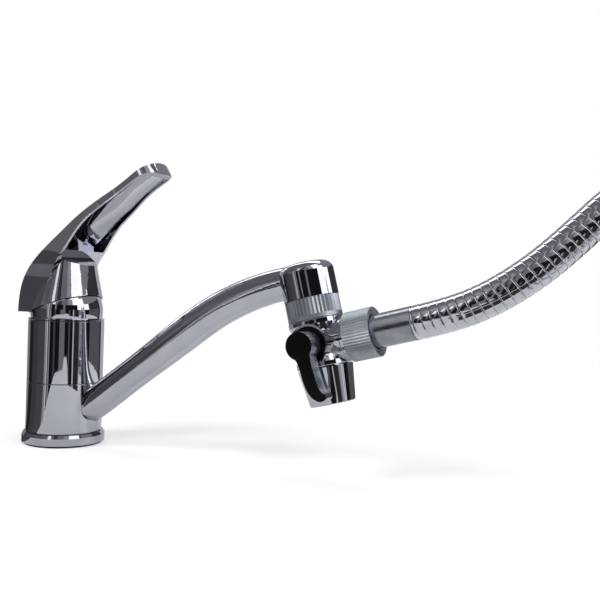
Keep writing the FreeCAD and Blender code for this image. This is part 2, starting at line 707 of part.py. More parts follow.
def make_free_hose():
    """The ribbed stretch with its bore: four circles to a rib, straight ends."""
    edges, radii = route_edges(FREE_POINTS)
    length = sum(e.Length for e in edges)
    print("free hose radii", [round(r) for r in radii], "length", round(length, 1))
    ribs = round(length / RIB_PITCH)
    pitch = length / ribs
    low = HOSE_R - HOSE_GROOVE
    outer = []
    inner = []
    for i in range(ribs):
        at = i * pitch
        steps = ((0, low), (RIB_EDGE, HOSE_R), (pitch - RIB_SLOT - RIB_EDGE, HOSE_R),
                 (pitch - RIB_SLOT, low))
        for step, radius in steps:
            outer.append(round_wire(radius, *station(edges, at + step)))
        inner.append(round_wire(HOSE_BORE, *station(edges, at)))
    finish = station(edges, length)
    outer.append(round_wire(low, *finish))
    inner.append(round_wire(HOSE_BORE, *finish))
    bore = Part.makeLoft(inner, True, True)
    solid = Part.makeLoft(outer, True, True).cut(bore)
    plain = math.pi * (HOSE_R ** 2 - HOSE_BORE ** 2) * length
    print("free hose volume", round(solid.Volume), "plain section x length", round(plain),
          "ribs", ribs)
    save("hose", solid)


def hank_fold(x, start, turn, z):
    """One fold of the hank, clockwise from above."""
    places = []
    for share in (0, 0.5, 1):
        angle = math.radians(start - share * turn)
        places.append(Vec(x + HANK_R * math.cos(angle), HANK_Y + HANK_R * math.sin(angle), z))
    return Part.Arc(*places).toShape(), places[2]


def hank_edges():
    """A lap on top that steps down to the deck, a lap under it, and the end turned inward."""
    top_fold, top_end = hank_fold(HANK_X, 90, 180, HANK_TOP_Z)
    back_y = top_end.y
    edges = [top_fold]
    edges += route_edges((top_end, Vec(HANK_X - HANK_STEP_FROM, back_y, HANK_TOP_Z),
                          Vec(HANK_LEFT + HANK_STEP_TO, back_y, HANK_Z),
                          Vec(HANK_LEFT, back_y, HANK_Z)))[0]
    left_fold, left_end = hank_fold(HANK_LEFT, -90, 180, HANK_Z)
    edges.append(left_fold)
    edges.append(Part.makeLine(left_end, Vec(HANK_X, left_end.y, HANK_Z)))
    last_fold, last_end = hank_fold(HANK_X, 90, HANK_END_TURN, HANK_Z)
    edges.append(last_fold)
    turn = math.radians(90 - HANK_END_TURN)
    level = Vec(math.sin(turn), -math.cos(turn), 0)
    rise = math.radians(HANK_END_RISE)
    bend = []
    for angle in (0, rise / 2, rise):
        bend.append(last_end + level * (HANK_END_BEND_R * math.sin(angle))
                    + Z_AXIS * (HANK_END_BEND_R * (1 - math.cos(angle))))
    edges.append(Part.Arc(*bend).toShape())
    heading = level * math.cos(rise) + Z_AXIS * math.sin(rise)
    edges.append(Part.makeLine(bend[2], bend[2] + heading * HANK_LEAD))
    return edges


def least_gap(edges, step=4.0):
    """The least clear gap of a tube to its own other turns, measured on points."""
    length = sum(e.Length for e in edges)
    count = int(length / step)
    points = [station(edges, i * length / count)[0] for i in range(count + 1)]
    best = length
    for i, first in enumerate(points):
        for second in points[i + int(4 * HOSE_R * math.pi / step):]:
            best = min(best, (first - second).Length)
    return best - 2 * HOSE_R


def make_hank():
    """The rest of the hose, folded into a hank on the deck in one unbroken tube."""
    edges = hank_edges()
    length = sum(e.Length for e in edges)
    spine = Part.Wire(edges)
    place, heading = station(edges, 0)
    outside = spine.makePipeShell([round_wire(HOSE_R, place, heading)], True, False)
    inside = spine.makePipeShell([round_wire(HOSE_BORE, place, heading)], True, False)
    hank = outside.cut(inside)
    plain = math.pi * (HOSE_R ** 2 - HOSE_BORE ** 2) * length
    print("hank length", round(length, 1), "least gap", round(least_gap(edges), 2),
          "volume", round(hank.Volume), "section x length", round(plain))
    save("hose_hank", hank)
    return station(edges, length)


def make_hose_far_end(place, heading):
    """The conical nut of the handset end with its gasket, tail and ferrule."""
    side = Z_AXIS.cross(heading)
    side.normalize()
    back = heading * -1
    turn = FreeCAD.Rotation(side, back.cross(side), back, "ZXY")
    mouth = FreeCAD.Placement(place + heading * END_FERRULE_TO, turn)
    nut = turned([(0, 0), (END_NUT_R - EDGE, 0), (END_NUT_R, EDGE),
                  (END_NUT_R, END_NUT_STRAIGHT), (END_NUT_BACK_R, END_NUT_L - EDGE),
                  (END_NUT_BACK_R - EDGE, END_NUT_L), (0, END_NUT_L)])
    nut = nut.cut(disc(PIPE_THREAD_R + FIT_GAP + END_RELIEF, END_FLANGE_AT - HOSE_GASKET_T,
                       END_FLANGE_AT + FLANGE_T))
    pieces = hose_end(0, END_NUT_L, nut, END_FLANGE_AT, FERRULE_R, END_FERRULE_TO, 0)
    names = ("end_nut", "end_gasket", "end_tail", "end_ferrule")
    for name, piece in zip(names, pieces):
        out = piece.copy()
        out.Placement = mouth.multiply(out.Placement)
        save(name, out)


def make_tie():
    """A flat strap round the two turns that lie on each other at the far fold."""
    half_x = HOSE_R + TIE_GAP
    half_z = (TURN_PITCH + 2 * HOSE_R) / 2 + TIE_GAP
    strap = block(-half_x - TIE_T, half_x + TIE_T, -TIE_W / 2, TIE_W / 2,
                  -half_z - TIE_T, half_z + TIE_T)
    long_edges = [e for e in strap.Edges if e.BoundBox.YLength > TIE_W - 0.1]
    strap = strap.makeFillet(HOSE_R, long_edges)
    hole = block(-half_x, half_x, -TIE_W, TIE_W, -half_z, half_z)
    long_edges = [e for e in hole.Edges if e.BoundBox.YLength > TIE_W]
    hole = hole.makeFillet(HOSE_R - TIE_T, long_edges)
    strap = strap.cut(hole)
    strap.translate(Vec(HANK_R, 0, 0))
    centre = Vec(HANK_X, HANK_Y, (HANK_Z + HANK_TOP_Z) / 2)
    save("hose_tie", placed(strap, centre, Z_AXIS, TIE_ANGLE))


# Cartridge

def make_cartridge():
    """Housing, port seals, ceramic discs, carrier, rotor, pin and the clamping ring."""
    ports = ((0.0, INLET_Y), (0.0, -INLET_Y), (OUT_X, 0.0))
    for name, (x, y) in zip(("port_seal_hot", "port_seal_cold", "port_seal_out"), ports):
        save(name, ring(SEAL_R, SEAL_IN, CHAMBER_Z, CART_Z, x, y))
    housing = disc(CART_R, CART_Z, CART_SHOULDER).fuse(
        disc(CART_NECK_R, CART_SHOULDER - 1, CART_NECK_TOP))
    housing = housing.cut(disc(CART_R - CART_WALL, DISC_Z, CART_ROOF))
    housing = housing.cut(disc(ROTOR_R + RUN_GAP, CART_ROOF - 1, CART_NECK_TOP + 1))
    fixed = disc(CART_R - CART_WALL - FIT_GAP, DISC_Z, DISC_Z + DISC_FIXED_T)
    for x, y in ports:
        housing = housing.cut(disc(OUT_R - 0.3, CART_Z - 1, DISC_Z + 1, x, y))
        fixed = fixed.cut(disc(OUT_R - 0.3, DISC_Z - 1, DISC_Z + 6, x, y))
    save("cartridge_housing", housing.removeSplitter())
    save("fixed_disc", fixed)
    moving = disc(DISC_MOVE_R, MOVE_Z, CARRIER_Z, DISC_X)
    pocket = block(-2.4, 2.1, -8.4, 8.4, MOVE_Z - 1, MOVE_Z + 2)
    pocket = pocket.fuse(block(-2.4, 11.6, -3.0, 3.0, MOVE_Z - 1, MOVE_Z + 2))
    save("moving_disc", moving.cut(pocket))
    plate_top = CARRIER_Z + CARRIER_T
    carrier = disc(DISC_MOVE_R, CARRIER_Z, plate_top, DISC_X)
    flats = block(-30, 30, -CARRIER_FLAT_Y, CARRIER_FLAT_Y, CARRIER_Z - 1, plate_top + 1)
    carrier = carrier.common(flats).fuse(disc(TOWER_R, plate_top - 1, TOWER_TOP, BALL_SHIFT))
    lowest = PIVOT_Z - ARM_BALL_DOWN - ARM_BALL_R - 0.3
    carrier = carrier.cut(disc(SOCKET_R, lowest, TOWER_TOP + 1, BALL_SHIFT))
    save("disc_carrier", carrier.removeSplitter())
    make_rotor(plate_top)
    lock = disc(THREAD_R - FIT_GAP, CART_SHOULDER, LOCK_TOP)
    lock = lock.cut(disc(CART_NECK_R + FIT_GAP, CART_SHOULDER - 1, LOCK_TOP + 1))
    notches = [block(-1.6, 1.6, 15.6, 20.0, LOCK_TOP - 2.4, LOCK_TOP + 1)]
    for i in range(1, 6):
        notch = notches[0].copy()
        notch.rotate(Vec(0, 0, 0), Z_AXIS, 60 * i)
        notches.append(notch)
    save("retaining_nut", lock.cut(Part.makeCompound(notches)))


def make_rotor(plate_top):
    """The turning guide: flange with lugs beside the carrier, slotted neck, pivot pin."""
    flange_top = CART_ROOF - FACE_GAP
    flange_low = flange_top - ROTOR_FLANGE_T
    rotor = disc(ROTOR_FLANGE_R, CARRIER_Z + 0.3, flange_top)
    room = CARRIER_FLAT_Y + 0.1
    rotor = rotor.cut(block(-30, 30, -room, room, CARRIER_Z, flange_low))
    for side in (-1, 1):
        x0, x1 = sorted((side * LUG_X, side * 30))
        rotor = rotor.cut(block(x0, x1, -30, 30, CARRIER_Z, flange_low))
    rotor = rotor.fuse(disc(ROTOR_R, flange_top - 0.5, ROTOR_TOP))
    tower_y = TOWER_R + 0.25
    rotor = rotor.cut(block(-TOWER_R - 0.6, 13.1, -tower_y, tower_y, plate_top, flange_top))
    rotor = rotor.cut(block(-ROTOR_SLOT_X, ROTOR_SLOT_X, -ROTOR_SLOT_Y, ROTOR_SLOT_Y,
                            flange_low, ROTOR_TOP + 1))
    pin_half = ROTOR_R - 0.5
    pivot = Vec(0, 0, PIVOT_Z)
    hole = rod(PIN_R + FIT_GAP, pivot - Y_AXIS * (ROTOR_R + 1), pivot + Y_AXIS * (ROTOR_R + 1))
    save("rotor", rotor.cut(hole).removeSplitter())
    save("pivot_pin", rod(PIN_R, pivot - Y_AXIS * pin_half, pivot + Y_AXIS * pin_half))


def make_spindle():
    """The rocking arm: ball in the carrier, eye on the pin, square under the handle."""
    down = Vec(0, 0, -ARM_BALL_DOWN)
    shape = Part.makeSphere(ARM_BALL_R, down)
    shape = shape.fuse(rod(ARM_ROD_R, down, Vec(0, 0, 0)))
    eye_half = ROTOR_SLOT_Y - 0.15
    shape = shape.fuse(rod(EYE_R, Vec(0, -eye_half, 0), Vec(0, eye_half, 0)))
    half = SPINDLE_SIDE / 2
    shape = shape.fuse(block(-half, half, -half, half, SPINDLE_FOOT - 3, SPINDLE_UP))
    shape = shape.cut(rod(PIN_R + RUN_GAP, Vec(0, -9, 0), Vec(0, 9, 0)))
    save("spindle", at_lever(shape.removeSplitter()))


def make_cap():
    """The polished ball cap that hides the ring, screwed on the ring's upper thread."""
    pivot = Vec(0, 0, PIVOT_Z)
    cap = Part.makeSphere(CAP_BALL_R, pivot).common(block(-30, 30, -30, 30, CAP_Z, 130))
    cap = cap.fuse(disc(BODY_R, CAP_Z, CAP_Z + CAP_FOOT_H))
    hollow = Part.makeSphere(CAP_BALL_R - CAP_WALL, pivot)
    cap = cap.cut(hollow.common(block(-30, 30, -30, 30, LOCK_TOP, 130)))
    cap = cap.cut(disc(THREAD_R, CAP_Z - 1, LOCK_TOP))
    cap = cap.cut(disc(CAP_OPEN_R, PIVOT_Z, 130))
    save("ball_cap", cap.removeSplitter())


# Lever handle

# Sections from the tip over the crown and down the back:
# crown x and z, lower edge x and z, half width, rise of the arch
SECTIONS = (
    (67.0, 164.6, 70.4, 157.9, 13.0, 1.0), (60.0, 161.3, 62.8, 157.0, 13.0, 1.3),
    (52.0, 156.6, 54.5, 152.4, 13.1, 1.7), (42.0, 150.4, 44.8, 145.9, 13.9, 2.0),
    (32.0, 144.4, 35.6, 139.2, 16.0, 2.5), (22.5, 138.7, 27.6, 133.2, 17.2, 3.2),
    (14.0, 133.0, 21.0, 126.6, 17.8, 3.8), (6.0, 127.0, 16.0, 120.0, 18.2, 4.4),
    (-2.0, 121.1, 12.2, 114.8, 18.5, 5.2), (-9.0, 115.4, 9.2, 111.0, 18.5, 5.8),
    (-16.0, 108.9, 6.8, 107.0, 18.4, 6.4), (-21.5, 102.0, 4.6, 102.2, 18.5, 6.9),
    (-25.1, 95.2, 1.4, 95.6, 18.7, 7.2), (-27.0, 88.5, -3.4, 88.3, 18.8, 7.4),
    (-27.9, 81.8, -8.6, 81.6, 18.8, 7.5), (-27.8, 74.5, -14.0, 74.3, 18.8, 7.5))


def hood_section(section, inset=0.0, below=0.0):
    """One outline of the hood: flat chord, two straight sides and an arched crown."""
    cx, cz, ex, ez, half, rise = section
    up = Vec(cx - ex, 0, cz - ez)
    tall = up.Length
    up.normalize()
    foot = Vec(ex, 0, ez) - up * below
    half = half - inset
    crown = Vec(cx, 0, cz) - up * inset
    corner_l = foot - Y_AXIS * half
    corner_r = foot + Y_AXIS * half
    side = tall - rise + below - inset
    top_l = corner_l + up * side
    top_r = corner_r + up * side
    edges = [Part.makeLine(corner_r, corner_l), Part.makeLine(corner_l, top_l),
             Part.Arc(top_l, crown, top_r).toShape(), Part.makeLine(top_r, corner_r)]
    return Part.Wire(edges)


def make_handle():
    """Dome over the cap with a hood that runs out into the lever arm, all one casting."""
    hood = Part.makeLoft([hood_section(s) for s in SECTIONS], True, False)
    tip = Vec(69.3, 0, 160.2)
    along = Vec(math.cos(math.radians(32)), 0, math.sin(math.radians(32)))
    across = Vec(-along.z, 0, along.x)
    plan = []
    for x, y in ((-34, 40), (8, 40), (8, -40), (-34, -40)):
        plan.append(tip + along * x + Y_AXIS * y - across * 20)
    cutter = Part.Face(Part.makePolygon(plan + plan[:1])).extrude(across * 40)
    centre = tip - along * TIP_ROUND - across * 25
    oval = Part.Ellipse(centre + Y_AXIS * TIP_WIDE, centre + along * TIP_ROUND, centre)
    keep = Part.Face(Part.Wire(oval.toShape())).extrude(across * 50)
    back = []
    for x, y in ((-60, 40), (-TIP_ROUND, 40), (-TIP_ROUND, -40), (-60, -40)):
        back.append(tip + along * x + Y_AXIS * y - across * 25)
    behind = Part.Face(Part.makePolygon(back + back[:1])).extrude(across * 50)
    hood = hood.cut(cutter.cut(keep).cut(behind))
    inner = [hood_section(s, CHANNEL_RIM, 8.0) for s in SECTIONS[1:9]]
    hood = hood.cut(Part.makeLoft(inner, True, False))
    rim_centre = Vec(-RIM_UP * math.sin(LIFT_RAD), 0, PIVOT_Z + RIM_UP * math.cos(LIFT_RAD))
    rim_along = Vec(math.cos(LIFT_RAD), 0, math.sin(LIFT_RAD))
    rim = Part.Ellipse(rim_centre + Y_AXIS * RIM_R, rim_centre + rim_along * (RIM_R - 0.01),
                       rim_centre)
    drop = math.radians(DOME_TOP_DROP)
    top_centre = Vec(DOME_TOP_X, 0, DOME_TOP_Z)
    top_along = Vec(math.cos(drop), 0, -math.sin(drop))
    top = Part.Ellipse(top_centre + Y_AXIS * DOME_TOP_WIDE, top_centre + top_along * DOME_TOP_LONG,
                       top_centre)
    dome = Part.makeLoft([Part.Wire(rim.toShape()), Part.Wire(top.toShape())], True, False)
    outer = hood.fuse(dome)
    outer = outer.cut(block(-60, -12, -40, 40, 40, HOOD_BOTTOM_Z))
    pivot = Vec(0, 0, PIVOT_Z)
    handle = outer.cut(Part.makeSphere(CAP_BALL_R + HANDLE_GAP, pivot))
    below = at_lever(block(-60, 60, -40, 40, -40, RIM_UP))
    front = block(-12, 60, -40, 40, 40, 100)
    handle = handle.cut(below.common(front))
    handle = handle.fuse(at_lever(disc(BOSS_R, BOSS_FOOT, CAP_BALL_R + 4)))
    half = SPINDLE_SIDE / 2 + FIT_GAP
    handle = handle.cut(at_lever(block(-half, half, -half, half, 0, SPINDLE_UP + 0.3)))
    handle = handle.cut(at_lever(rod(SCREW_R + FIT_GAP, Vec(0, 0, SCREW_UP),
                                     Vec(-40, 0, SCREW_UP))))
    plug_hole = rod(PLUG_R + FIT_GAP, Vec(-PLUG_IN, 0, SCREW_UP), Vec(-40, 0, SCREW_UP))
    handle = handle.cut(at_lever(plug_hole))
    if len(handle.Solids) > 1:
        print("handle pieces", [round(s.Volume, 1) for s in handle.Solids])
        handle = max(handle.Solids, key=lambda s: s.Volume)
    save("lever_handle", handle)
    plug = outer.common(at_lever(rod(PLUG_R, Vec(-PLUG_IN, 0, SCREW_UP), Vec(-40, 0, SCREW_UP))))
    save("lever_plug", plug)
    start = SPINDLE_SIDE / 2
    screw = rod(SCREW_R, Vec(-start, 0, SCREW_UP), Vec(-start - SCREW_L, 0, SCREW_UP))
    corners = [Vec(-start - SCREW_L + 3, 1.45 * math.cos(math.radians(60 * i)),
                   SCREW_UP + 1.45 * math.sin(math.radians(60 * i))) for i in range(7)]
    key = Part.Face(Part.makePolygon(corners)).extrude(Vec(-6, 0, 0))
    save("grub_screw", at_lever(screw.cut(key)))


make_base()
make_body()
make_swivel_seals()
make_spout()
make_mouth_parts()
make_valve_body()
make_valve_inside()
make_turn_lever()
make_outlet()
make_branch()
make_free_hose()
end_place, end_heading = make_hank()
print("hose end", [round(v, 3) for v in end_place], [round(v, 5) for v in end_heading])
make_hose_far_end(end_place, end_heading)
make_tie()
make_cartridge()
make_spindle()
make_cap()
make_handle()
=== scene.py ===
"""Dresses the diverter tap: finishes, shower hose, studio and camera."""

import logging
import math
from bisect import bisect_right
from dataclasses import dataclass, field
from enum import Enum

import bmesh
import bpy
from mathutils import Matrix, Vector


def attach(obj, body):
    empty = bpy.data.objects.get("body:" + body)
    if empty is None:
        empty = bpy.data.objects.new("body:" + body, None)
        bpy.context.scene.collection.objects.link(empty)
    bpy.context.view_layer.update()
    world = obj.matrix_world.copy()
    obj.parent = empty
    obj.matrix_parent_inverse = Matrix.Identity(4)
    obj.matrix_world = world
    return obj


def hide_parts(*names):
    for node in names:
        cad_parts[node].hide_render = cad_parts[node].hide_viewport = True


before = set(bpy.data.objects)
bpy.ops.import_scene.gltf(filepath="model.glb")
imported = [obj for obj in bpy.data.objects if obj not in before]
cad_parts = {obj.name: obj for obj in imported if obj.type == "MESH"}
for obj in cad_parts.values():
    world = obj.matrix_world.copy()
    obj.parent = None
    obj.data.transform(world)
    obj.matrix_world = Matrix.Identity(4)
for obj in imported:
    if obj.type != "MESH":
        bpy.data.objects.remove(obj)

LOG = logging.getLogger("tap")
MM = 0.001
# Most of a noise pattern lies between these two values.
NOISE_LOW, NOISE_HIGH = 0.3, 0.7
# Handling marks on small mouldings are about this far apart.
HANDLING_MM = 7.0
# How many finer layers each noise pattern has.
SMEAR_DETAIL, WAVE_DETAIL, GRAIN_DETAIL, TEXTURE_DETAIL = 4.0, 1.0, 3.0, 2.0
# The sockets of a Mix node set to colours, which share their names.
MIX_SHARE, MIX_FIRST, MIX_SECOND, MIX_RESULT = 0, 6, 7, 2
# Two points of a line count as at least this far apart, in metres.
LEAST_STEP = 1e-9


def linear(shade: str) -> tuple[float, float, float, float]:
    """Turns an sRGB colour into the linear one that shaders read.

    Args:
        shade: The colour as six hex digits after a hash sign.

    Returns:
        Red, green, blue and alpha in linear light.
    """
    channels = [int(shade[i : i + 2], 16) / 255 for i in (1, 3, 5)]
    light = [c / 12.92 if c <= 0.04045 else ((c + 0.055) / 1.055) ** 2.4 for c in channels]
    return (light[0], light[1], light[2], 1.0)


class Grain(Enum):
    """The way in which a finish's fine marks run: a small factor draws them out on its axis."""

    EVEN = (1.0, 1.0, 1.0)
    ALONG_Z = (1.0, 1.0, 0.06)
    ALONG_X = (0.06, 1.0, 1.0)


class Graph:
    """One shader tree, laid out node by node."""

    def __init__(self, owner: bpy.types.Material | bpy.types.World) -> None:
        """Starts with an empty tree.

        Args:
            owner: The material or world that the tree belongs to.
        """
        owner.use_nodes = True
        self.tree = owner.node_tree
        self.tree.nodes.clear()

    def node(self, kind: str, inputs: dict[str | int, object] | None = None,
             **settings: object) -> bpy.types.Node:
        """Adds a node with its settings and links.

        Args:
            kind: The node's type.
            inputs: For each socket, by name or number, its value or the output it is linked to.
            **settings: The node's own choices, such as its operation.

        Returns:
            The new node.
        """
        made = self.tree.nodes.new(kind)
        for name, value in settings.items():
            setattr(made, name, value)
        for key, value in (inputs or {}).items():
            if isinstance(value, bpy.types.NodeSocket):
                self.tree.links.new(value, made.inputs[key])
            else:
                made.inputs[key].default_value = value
        return made


def smeared_gloss(graph: Graph, place: bpy.types.NodeSocket, spacing_mm: float,
                  least: float, most: float) -> tuple[bpy.types.NodeSocket, bpy.types.NodeSocket]:
    """Spreads smears over a surface and lets them dull it.

    Args:
        graph: The tree that the smears are added to.
        place: The coordinates that they follow.
        spacing_mm: How far apart they are, in millimetres.
        least: The roughness between them.
        most: The roughness in them.

    Returns:
        The smears' strength and the roughness.
    """
    smears = graph.node("ShaderNodeTexNoise", {
        "Vector": place, "Scale": 1 / (spacing_mm * MM), "Detail": SMEAR_DETAIL})
    gloss = graph.node("ShaderNodeMapRange", {
        "Value": smears.outputs["Fac"], "From Min": NOISE_LOW, "From Max": NOISE_HIGH,
        "To Min": least, "To Max": most})
    return smears.outputs["Fac"], gloss.outputs["Result"]


@dataclass(frozen=True)
class MetalFinish:
    """A plated or bare metal, with soft waves, smears and a grain."""

    name: str
    colour: str
    shade: str
    smooth: float
    smeared: float
    wave_mm: float = 14.0
    wave_depth: float = 0.02
    grain: Grain = Grain.EVEN
    grain_mm: float = 0.0
    grain_depth: float = 0.0
    smear_share: float = 0.9
    shade_range: tuple[float, float] = (0.35, 0.75)
    wave_strength: float = 0.5
    grain_strength: float = 0.6

    def material(self) -> bpy.types.Material:
        """Makes the material.

        Returns:
            The finished material.
        """
        material = bpy.data.materials.new(self.name)
        graph = Graph(material)
        place = graph.node("ShaderNodeTexCoord").outputs["Object"]
        smears, gloss = smeared_gloss(graph, place, self.smear_share * self.wave_mm,
                                      self.smooth, self.smeared)
        share = graph.node("ShaderNodeMapRange", {
            "Value": smears, "From Min": self.shade_range[0], "From Max": self.shade_range[1]})
        colour = graph.node("ShaderNodeMix", {
            MIX_SHARE: share.outputs["Result"], MIX_FIRST: linear(self.colour),
            MIX_SECOND: linear(self.shade)}, data_type="RGBA")
        waves = graph.node("ShaderNodeTexNoise", {
            "Vector": place, "Scale": 1 / (self.wave_mm * MM), "Detail": WAVE_DETAIL})
        surface = graph.node("ShaderNodeBump", {
            "Height": waves.outputs["Fac"], "Strength": self.wave_strength,
            "Distance": self.wave_depth * MM})
        if self.grain_mm:
            drawn = graph.node("ShaderNodeMapping", {"Vector": place, "Scale": self.grain.value})
            marks = graph.node("ShaderNodeTexNoise", {
                "Vector": drawn.outputs["Vector"], "Scale": 1 / (self.grain_mm * MM),
                "Detail": GRAIN_DETAIL})
            surface = graph.node("ShaderNodeBump", {
                "Height": marks.outputs["Fac"], "Normal": surface.outputs["Normal"],
                "Strength": self.grain_strength, "Distance": self.grain_depth * MM})
        metal = graph.node("ShaderNodeBsdfPrincipled", {
            "Metallic": 1.0, "Roughness": gloss, "Base Color": colour.outputs[MIX_RESULT],
            "Normal": surface.outputs["Normal"]})
        graph.node("ShaderNodeOutputMaterial", {"Surface": metal.outputs["BSDF"]})
        return material


@dataclass(frozen=True)
class MouldedFinish:
    """A moulded plastic, rubber or ceramic, with a fine texture and handling marks."""

    name: str
    colour: str
    shade: str
    matt: float
    polished: float
    texture_mm: float = 0.6
    texture_depth: float = 0.03
    grain: Grain = Grain.EVEN
    mirrored: float = 0.5
    texture_strength: float = 0.5

    def material(self) -> bpy.types.Material:
        """Makes the material.

        Returns:
            The finished material.
        """
        material = bpy.data.materials.new(self.name)
        graph = Graph(material)
        place = graph.node("ShaderNodeTexCoord").outputs["Object"]
        marks, gloss = smeared_gloss(graph, place, HANDLING_MM, self.polished, self.matt)
        share = graph.node("ShaderNodeMapRange", {
            "Value": marks, "From Min": NOISE_LOW, "From Max": NOISE_HIGH})
        colour = graph.node("ShaderNodeMix", {
            MIX_SHARE: share.outputs["Result"], MIX_FIRST: linear(self.colour),
            MIX_SECOND: linear(self.shade)}, data_type="RGBA")
        drawn = graph.node("ShaderNodeMapping", {"Vector": place, "Scale": self.grain.value})
        texture = graph.node("ShaderNodeTexNoise", {
            "Vector": drawn.outputs["Vector"], "Scale": 1 / (self.texture_mm * MM),
            "Detail": TEXTURE_DETAIL})
        surface = graph.node("ShaderNodeBump", {
            "Height": texture.outputs["Fac"], "Strength": self.texture_strength,
            "Distance": self.texture_depth * MM})
        body = graph.node("ShaderNodeBsdfPrincipled", {
            "Specular IOR Level": self.mirrored, "Roughness": gloss,
            "Base Color": colour.outputs[MIX_RESULT], "Normal": surface.outputs["Normal"]})
        graph.node("ShaderNodeOutputMaterial", {"Surface": body.outputs["BSDF"]})
        return material


@dataclass(frozen=True)
class FacedFinish:
    """A black moulding whose sides are coloured as grey metal, a painted sheen that stands in for
    the light they mirror; the front face alone stays bare black.
    """

    name: str
    face: str
    side: str
    shade: str
    smooth: float
    smeared: float
    front: tuple[float, float, float] = (0.0, -1.0, 0.0)
    edge: tuple[float, float] = (0.88, 0.95)
    mirrored: float = 0.2
    texture_mm: float = 0.7
    texture_depth: float = 0.006
    texture_strength: float = 0.5

    def material(self) -> bpy.types.Material:
        """Makes the material.

        Returns:
            The finished material.
        """
        material = bpy.data.materials.new(self.name)
        graph = Graph(material)
        place = graph.node("ShaderNodeTexCoord")
        # The front face keeps the black; every other face gets the painted sheen.
        facing = graph.node("ShaderNodeVectorMath", {
            0: place.outputs["Normal"], 1: self.front}, operation="DOT_PRODUCT")
        cover = graph.node("ShaderNodeMapRange", {
            "Value": facing.outputs["Value"], "From Min": self.edge[0],
            "From Max": self.edge[1]})
        smears, gloss = smeared_gloss(graph, place.outputs["Object"], HANDLING_MM,
                                      self.smooth, self.smeared)
        # Painted sheen: the sides get a grey metal colour that stands in for light mirrored off
        # the black plastic.
        painted_sheen = graph.node("ShaderNodeMix", {
            MIX_SHARE: smears, MIX_FIRST: linear(self.side), MIX_SECOND: linear(self.shade)},
            data_type="RGBA")
        texture = graph.node("ShaderNodeTexNoise", {
            "Vector": place.outputs["Object"], "Scale": 1 / (self.texture_mm * MM),
            "Detail": TEXTURE_DETAIL})
        surface = graph.node("ShaderNodeBump", {
            "Height": texture.outputs["Fac"], "Strength": self.texture_strength,
            "Distance": self.texture_depth * MM})
        side = graph.node("ShaderNodeBsdfPrincipled", {
            "Base Color": painted_sheen.outputs[MIX_RESULT], "Metallic": 1.0, "Roughness": gloss,
            "Normal": surface.outputs["Normal"]})
        face = graph.node("ShaderNodeBsdfPrincipled", {
            "Base Color": linear(self.face), "Specular IOR Level": self.mirrored,
            "Roughness": gloss, "Normal": surface.outputs["Normal"]})
        both = graph.node("ShaderNodeMixShader", {
            0: cover.outputs["Result"], 1: side.outputs["BSDF"], 2: face.outputs["BSDF"]})
        graph.node("ShaderNodeOutputMaterial", {"Surface": both.outputs["Shader"]})
        return material


